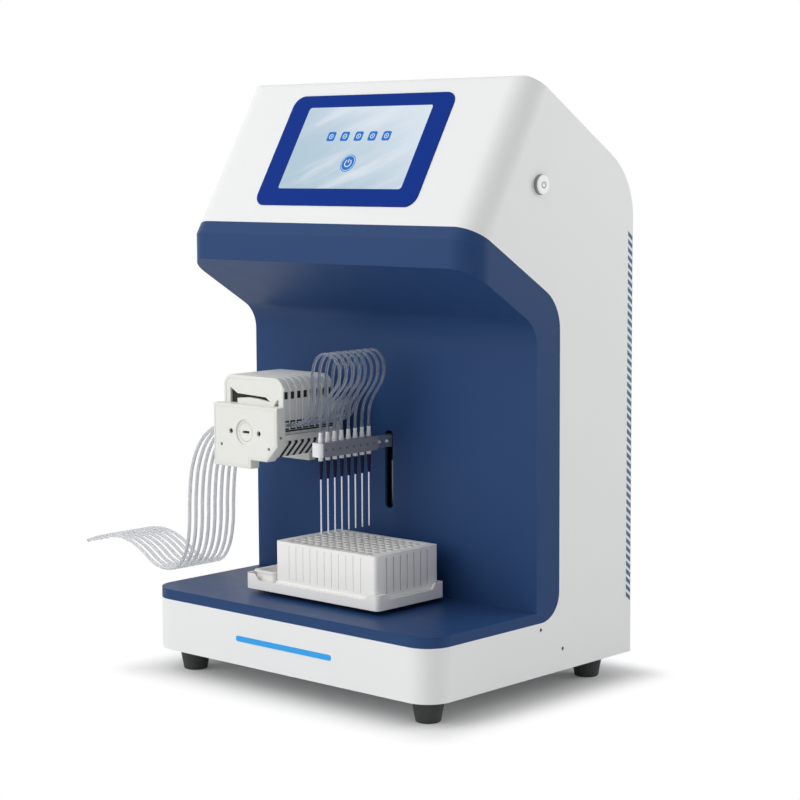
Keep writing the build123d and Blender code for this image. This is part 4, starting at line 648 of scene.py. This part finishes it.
def shadedSideBlockFinish():
    # painted shade: a pale moulding whose rounded tip keeps its white and whose side is painted
    # grey for the shade on it
    material, graph = newFinish("block_plastic_painted_side_shade")
    y = graph.parts(graph.place())[1]
    tipEnd = box("needle_block")[0].y + arm["tipLength"]
    along = graph.smooth(y, tipEnd, tipEnd + arm["tipFade"])
    colour = graph.mix(along, tones["arm"], tones["block"])
    grained(graph, colour, arm["rough"], arm["grain"], arm["grainScale"], arm["specular"])
    return material


def makeArmScrews():
    setScrews = bmesh.new()
    for i in range(arm["needles"]):
        y = arm["firstNeedleY"] + i * arm["needlePitch"]
        place = aimed((arm["blockSide"] - arm["screwSunk"], y, arm["screwUp"]), (1, 0, 0))
        addRevolved(setScrews, socketScrew(arm["screwRadius"], arm["screwHeight"]), place, steps=16)
    finishPiece("blockSetScrews", setScrews, lacquer, "needle_arm")
    bolts = bmesh.new()
    for y, z in arm["boltPlaces"]:
        place = aimed((arm["armSide"], y, z), (1, 0, 0))
        addRevolved(bolts, socketScrew(arm["boltRadius"], arm["boltHeight"]), place)
    finishPiece("armBolts", bolts, steelX, "needle_arm")


dress(["needle_block"], shadedSideBlockFinish())
makeArmScrews()
print("needle arm fitted")


rear = {"panelY": 0.1395, "screwX": (-0.165, 0.165), "screwZ": (0.036, 0.150, 0.280, 0.405),
        "radius": 0.0030, "height": 0.0014, "baseZ": 0.022, "baseX": (-0.155, 0.155),
        "baseY": (-0.075, 0.0, 0.075), "fanX": (-0.025, 0.025), "fanZ": (-0.025, 0.025),
        "fanRadius": 0.0027, "inletX": (-0.020, 0.020), "inletRadius": 0.0024,
        "inletHeight": 0.0009}
rocker = {"ink": 0.00012, "onPlace": (-0.070, 0.1400, 0.0600), "onNormal": (0, 1, 0),
          "onWidth": 0.0007, "onHeight": 0.0034, "onCorner": 0.0002,
          "offPlace": (-0.070, 0.14155, 0.0520), "offNormal": (0, 0.929, 0.371),
          "offRadii": (0.0011, 0.0017)}


def makeRearDetails():
    head = socketScrew(rear["radius"], rear["height"])
    shape = bmesh.new()
    for x in rear["screwX"]:
        for z in rear["screwZ"]:
            addRevolved(shape, head, aimed((x, rear["panelY"], z), (0, 1, 0)))
    for x in rear["baseX"]:
        for y in rear["baseY"]:
            addRevolved(shape, head, aimed((x, y, rear["baseZ"]), (0, 0, -1), (0, 1, 0)))
    finishPiece("panelScrews", shape, lacquer, "chassis")
    low, high = box("fan_frame")
    middle = (low + high) / 2
    fan = bmesh.new()
    for x in rear["fanX"]:
        for z in rear["fanZ"]:
            place = aimed((middle.x + x, rear["panelY"], middle.z + z), (0, 1, 0))
            addRevolved(fan, socketScrew(rear["fanRadius"], rear["height"]), place)
    finishPiece("fanScrews", fan, lacquer, "chassis")
    low, high = box("mains_inlet")
    middle = (low + high) / 2
    inlet = bmesh.new()
    for x in rear["inletX"]:
        place = aimed((middle.x + x, high.y, middle.z), (0, 1, 0))
        addRevolved(inlet, socketScrew(rear["inletRadius"], rear["inletHeight"]), place)
    finishPiece("inletScrews", inlet, steelY, "chassis")


def makeRockerMarks():
    marks = bmesh.new()
    addTile(marks, rocker["onWidth"], rocker["onHeight"], rocker["onCorner"],
            aimed(rocker["onPlace"], rocker["onNormal"]), 0.0, rocker["ink"])
    inner, outer = rocker["offRadii"]
    addBand(marks, inner, outer, 0, 360, aimed(rocker["offPlace"], rocker["offNormal"]), 0.0,
            rocker["ink"], steps=32)
    finishPiece("rockerMarks", marks, whiteInk, "mains_rocker")


makeRearDetails()
makeRockerMarks()
print("rear and underside fitted")


tubing = {"inletDiameter": 0.0034, "outletDiameter": 0.0028, "channels": 8,
          "firstY": -0.09125, "channelPitch": 0.0082, "narrowing": 0.0007, "inletLength": 0.324,
          "outletLength": 0.19, "boreShare": 0.62, "boreDepth": 0.00012, "roundness": 3,
          "smoothness": 10, "cloudScale": 160, "rough": 0.14, "roughSpread": 0.1,
          "grainScale": 900, "grain": 0.00004, "grainStrength": 0.3}
# both routes are (x, z), and y is the channel's own
inletRoute = [(-0.1161, 0.2325), (-0.1345, 0.2325), (-0.1575, 0.2170), (-0.1715, 0.1900),
              (-0.1754, 0.1560), (-0.1756, 0.1300), (-0.1800, 0.1060), (-0.1915, 0.0885),
              (-0.2085, 0.0845), (-0.2275, 0.0865), (-0.2495, 0.1015), (-0.2705, 0.1085),
              (-0.2905, 0.1090), (-0.3105, 0.1050), (-0.3293, 0.0988)]
outletRoute = [(-0.0461, 0.2385), (-0.0180, 0.2385), (-0.0096, 0.2620), (-0.0093, 0.2993),
               (0.0077, 0.3091), (0.0247, 0.2993), (0.0249, 0.2810), (0.0050, 0.2630),
               (0.0, 0.2500), (0.0, 0.2353)]


def tubeFinish(name, clearness, pale, deep, bending):
    # clear tubing with a faint cloud in its wall
    material, graph = newFinish(name)
    place = graph.place()
    cloud = graph.noise(place, tubing["cloudScale"])
    fine = graph.noise(place, tubing["grainScale"])
    close(graph, {"Base Color": graph.mix(cloud, deep, pale), "IOR": bending,
                  "Roughness": tubing["rough"] + tubing["roughSpread"] * cloud,
                  "Transmission Weight": clearness,
                  "Normal": graph.bump(fine, tubing["grain"], tubing["grainStrength"])})
    return material


def smoothCurve(name, points, diameter, material):
    # a NURBS line with the route's points as its control points
    curve = bpy.data.curves.new(name, "CURVE")
    curve.dimensions = "3D"
    curve.bevel_depth = diameter / 2
    curve.bevel_resolution = tubing["roundness"]
    curve.resolution_u = tubing["smoothness"]
    curve.use_fill_caps = True
    spline = curve.splines.new("NURBS")
    spline.points.add(len(points) - 1)
    for knot, point in zip(spline.points, points):
        knot.co = (*point, 1.0)
    spline.order_u = 3
    spline.use_endpoint_u = True
    curve.materials.append(material)
    piece = bpy.data.objects.new(name, curve)
    bpy.context.scene.collection.objects.link(piece)
    return piece


def bareLine(piece):
    # the points down the middle of a curve
    bare = bpy.data.objects.new("bare", piece.data.copy())
    bare.data.bevel_depth = 0
    mesh = bpy.data.meshes.new_from_object(bare)
    line = [tuple(vertex.co) for vertex in mesh.vertices]
    bpy.data.meshes.remove(mesh)
    bpy.data.curves.remove(bare.data)
    return line


def meshOf(curvePiece):
    # the same piece as a mesh
    name = curvePiece.name
    mesh = bpy.data.meshes.new_from_object(curvePiece)
    bpy.data.curves.remove(curvePiece.data)
    piece = bpy.data.objects.new(name, mesh)
    mesh.polygons.foreach_set("use_smooth", [True] * len(mesh.polygons))
    bpy.context.scene.collection.objects.link(piece)
    return piece


def makeBoreShade(name, points):
    # painted shade: a dark disc at a tube's open end stands for the shade inside its bore
    end = Vector(points[-1])
    bore = bmesh.new()
    radius = tubing["inletDiameter"] / 2 * tubing["boreShare"]
    depth = tubing["boreDepth"]
    addRevolved(bore, [(0, 0), (radius, 0), (radius, depth), (0, depth)],
                aimed(end, end - Vector(points[-2]), (0, 1, 0)), steps=20)
    return finishPiece(name, bore, markInkAndBoreShade, "chassis")


def layInletTubes(material):
    for i in range(tubing["channels"]):
        y = tubing["firstY"] + i * tubing["channelPitch"]
        points = [(x, y, z) for x, z in inletRoute]
        tube = smoothCurve(f"inletTube{i + 1}", points, tubing["inletDiameter"], material)
        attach(tube, "chassis")
        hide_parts(f"inlet_tube_{i + 1}")
        boreShade = makeBoreShade(f"tubeBoreShade{i + 1}", points)


def layOutletTubes(material):
    # each tube's loop is a little narrower than the one in front of it
    for i in range(tubing["channels"]):
        y = tubing["firstY"] + i * tubing["channelPitch"]
        needleY = arm["firstNeedleY"] + i * arm["needlePitch"]
        narrow = i * tubing["narrowing"]
        shifts = [0, 0, 0, 0, narrow / 2, narrow, narrow, 0, 0, 0]
        depths = [y, y, (y + needleY) / 2] + [needleY] * 7
        points = [(x - shift, depth, z)
                  for (x, z), shift, depth in zip(outletRoute, shifts, depths)]
        curve = smoothCurve(f"outletTube{i + 1}", points, tubing["outletDiameter"], material)
        line = bareLine(curve)
        tube = meshOf(curve)
        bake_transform(tube)
        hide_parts("outlet_tubes")


layInletTubes(tubeFinish("inlet_tubing", 0.7, rgb(240, 241, 243), rgb(222, 224, 228), 1.35))
layOutletTubes(tubeFinish("outlet_tubing", 0.82, rgb(200, 208, 222), rgb(172, 182, 200), 1.32))
print("tubing laid")


# the floor clears to white from the base's own rectangle outwards
ground = {"size": 30.0, "colour": (0.95, 0.95, 0.95, 1.0), "halfX": 0.177, "halfY": 0.140,
          "clearFrom": 0.0, "clearTo": 0.045, "lift": 0.05}
lamps = {"aim": (0, -0.03, 0.25),
         "key": {"power": 21.5, "size": 1.8, "place": (-1.2, -2.1, 1.25)},
         "side": {"power": 24.0, "size": 1.5, "place": (1.7, 2.1, 1.1)},
         "top": {"power": 6.5, "size": 1.8, "place": (-0.3, -1.0, 2.3)}}
sky = {"base": 0.24, "overhead": 0.32, "overheadFull": 0.9, "front": 0.34, "frontFull": 0.8,
       "frontWay": (-0.6, -0.8, 0.1)}
plainWhite = (1, 1, 1, 1)


def makeFloor():
    half = ground["size"] / 2
    corners = [(-half, -half, 0), (half, -half, 0), (half, half, 0), (-half, half, 0)]
    mesh = bpy.data.meshes.new("floor")
    mesh.from_pydata(corners, [], [(0, 1, 2, 3)])
    material, graph = newFinish("studio_floor")
    x, y = graph.parts(graph.place())[:2]
    beyondX, beyondY = (graph.node("ShaderNodeMath", {"operation": "MAXIMUM"}, {0: gap, 1: 0.0})
                        for gap in (abs(x) - ground["halfX"], abs(y) - ground["halfY"]))
    away = (beyondX * beyondX + beyondY * beyondY) ** 0.5
    far = graph.smooth(away, ground["clearFrom"], ground["clearTo"])
    share = ground["lift"] + (1 - ground["lift"]) * far
    seen = graph.node("ShaderNodeLightPath", None, None, "Is Camera Ray")
    matt = graph.node("ShaderNodeBsdfDiffuse", None, {"Color": ground["colour"]})
    glow = graph.node("ShaderNodeEmission", None, {"Color": plainWhite, "Strength": 1.0})
    both = graph.node("ShaderNodeMixShader", None, {0: share * seen, 1: matt, 2: glow})
    graph.node("ShaderNodeOutputMaterial", None, {"Surface": both})
    mesh.materials.append(material)
    floor = bpy.data.objects.new("floor", mesh)
    bpy.context.scene.collection.objects.link(floor)


def makeLamp(name):
    lamp = bpy.data.lights.new(name, "AREA")
    lamp.energy = lamps[name]["power"]
    lamp.size = lamps[name]["size"]
    holder = bpy.data.objects.new(name, lamp)
    place = Vector(lamps[name]["place"])
    aim = Vector(lamps["aim"]) - place
    holder.matrix_world = Matrix.LocRotScale(place, aim.to_track_quat("-Z", "Y"), None)
    bpy.context.scene.collection.objects.link(holder)


def makeWorld():
    # brighter overhead and in front; seen by the camera and in reflections as plain white
    world = bpy.data.worlds.new("studio")
    bpy.context.scene.world = world
    world.use_nodes = True
    graph = Graph(world.node_tree)
    seen = [graph.node("ShaderNodeLightPath", None, None, name)
            for name in ("Is Camera Ray", "Is Glossy Ray", "Is Transmission Ray")]
    shown = graph.node("ShaderNodeMath", {"operation": "MINIMUM"},
                       {0: seen[0] + seen[1] + seen[2], 1: 1.0})
    direction = graph.parts(graph.node("ShaderNodeTexCoord", output="Generated"))
    overhead = graph.smooth(direction[2], 0.0, sky["overheadFull"])
    ahead = sum(part * share for part, share in zip(direction, sky["frontWay"]))
    front = graph.smooth(ahead, 0.0, sky["frontFull"])
    light = sky["base"] + sky["overhead"] * overhead + sky["front"] * front
    backdrop = graph.node("ShaderNodeBackground", None,
                          {"Color": plainWhite, "Strength": shown + (1 - shown) * light})
    graph.node("ShaderNodeOutputWorld", None, {"Surface": backdrop})


makeFloor()
for name in ("key", "side", "top"):
    makeLamp(name)
makeWorld()
bpy.context.scene.view_settings.view_transform = "Standard"
print("studio lit")
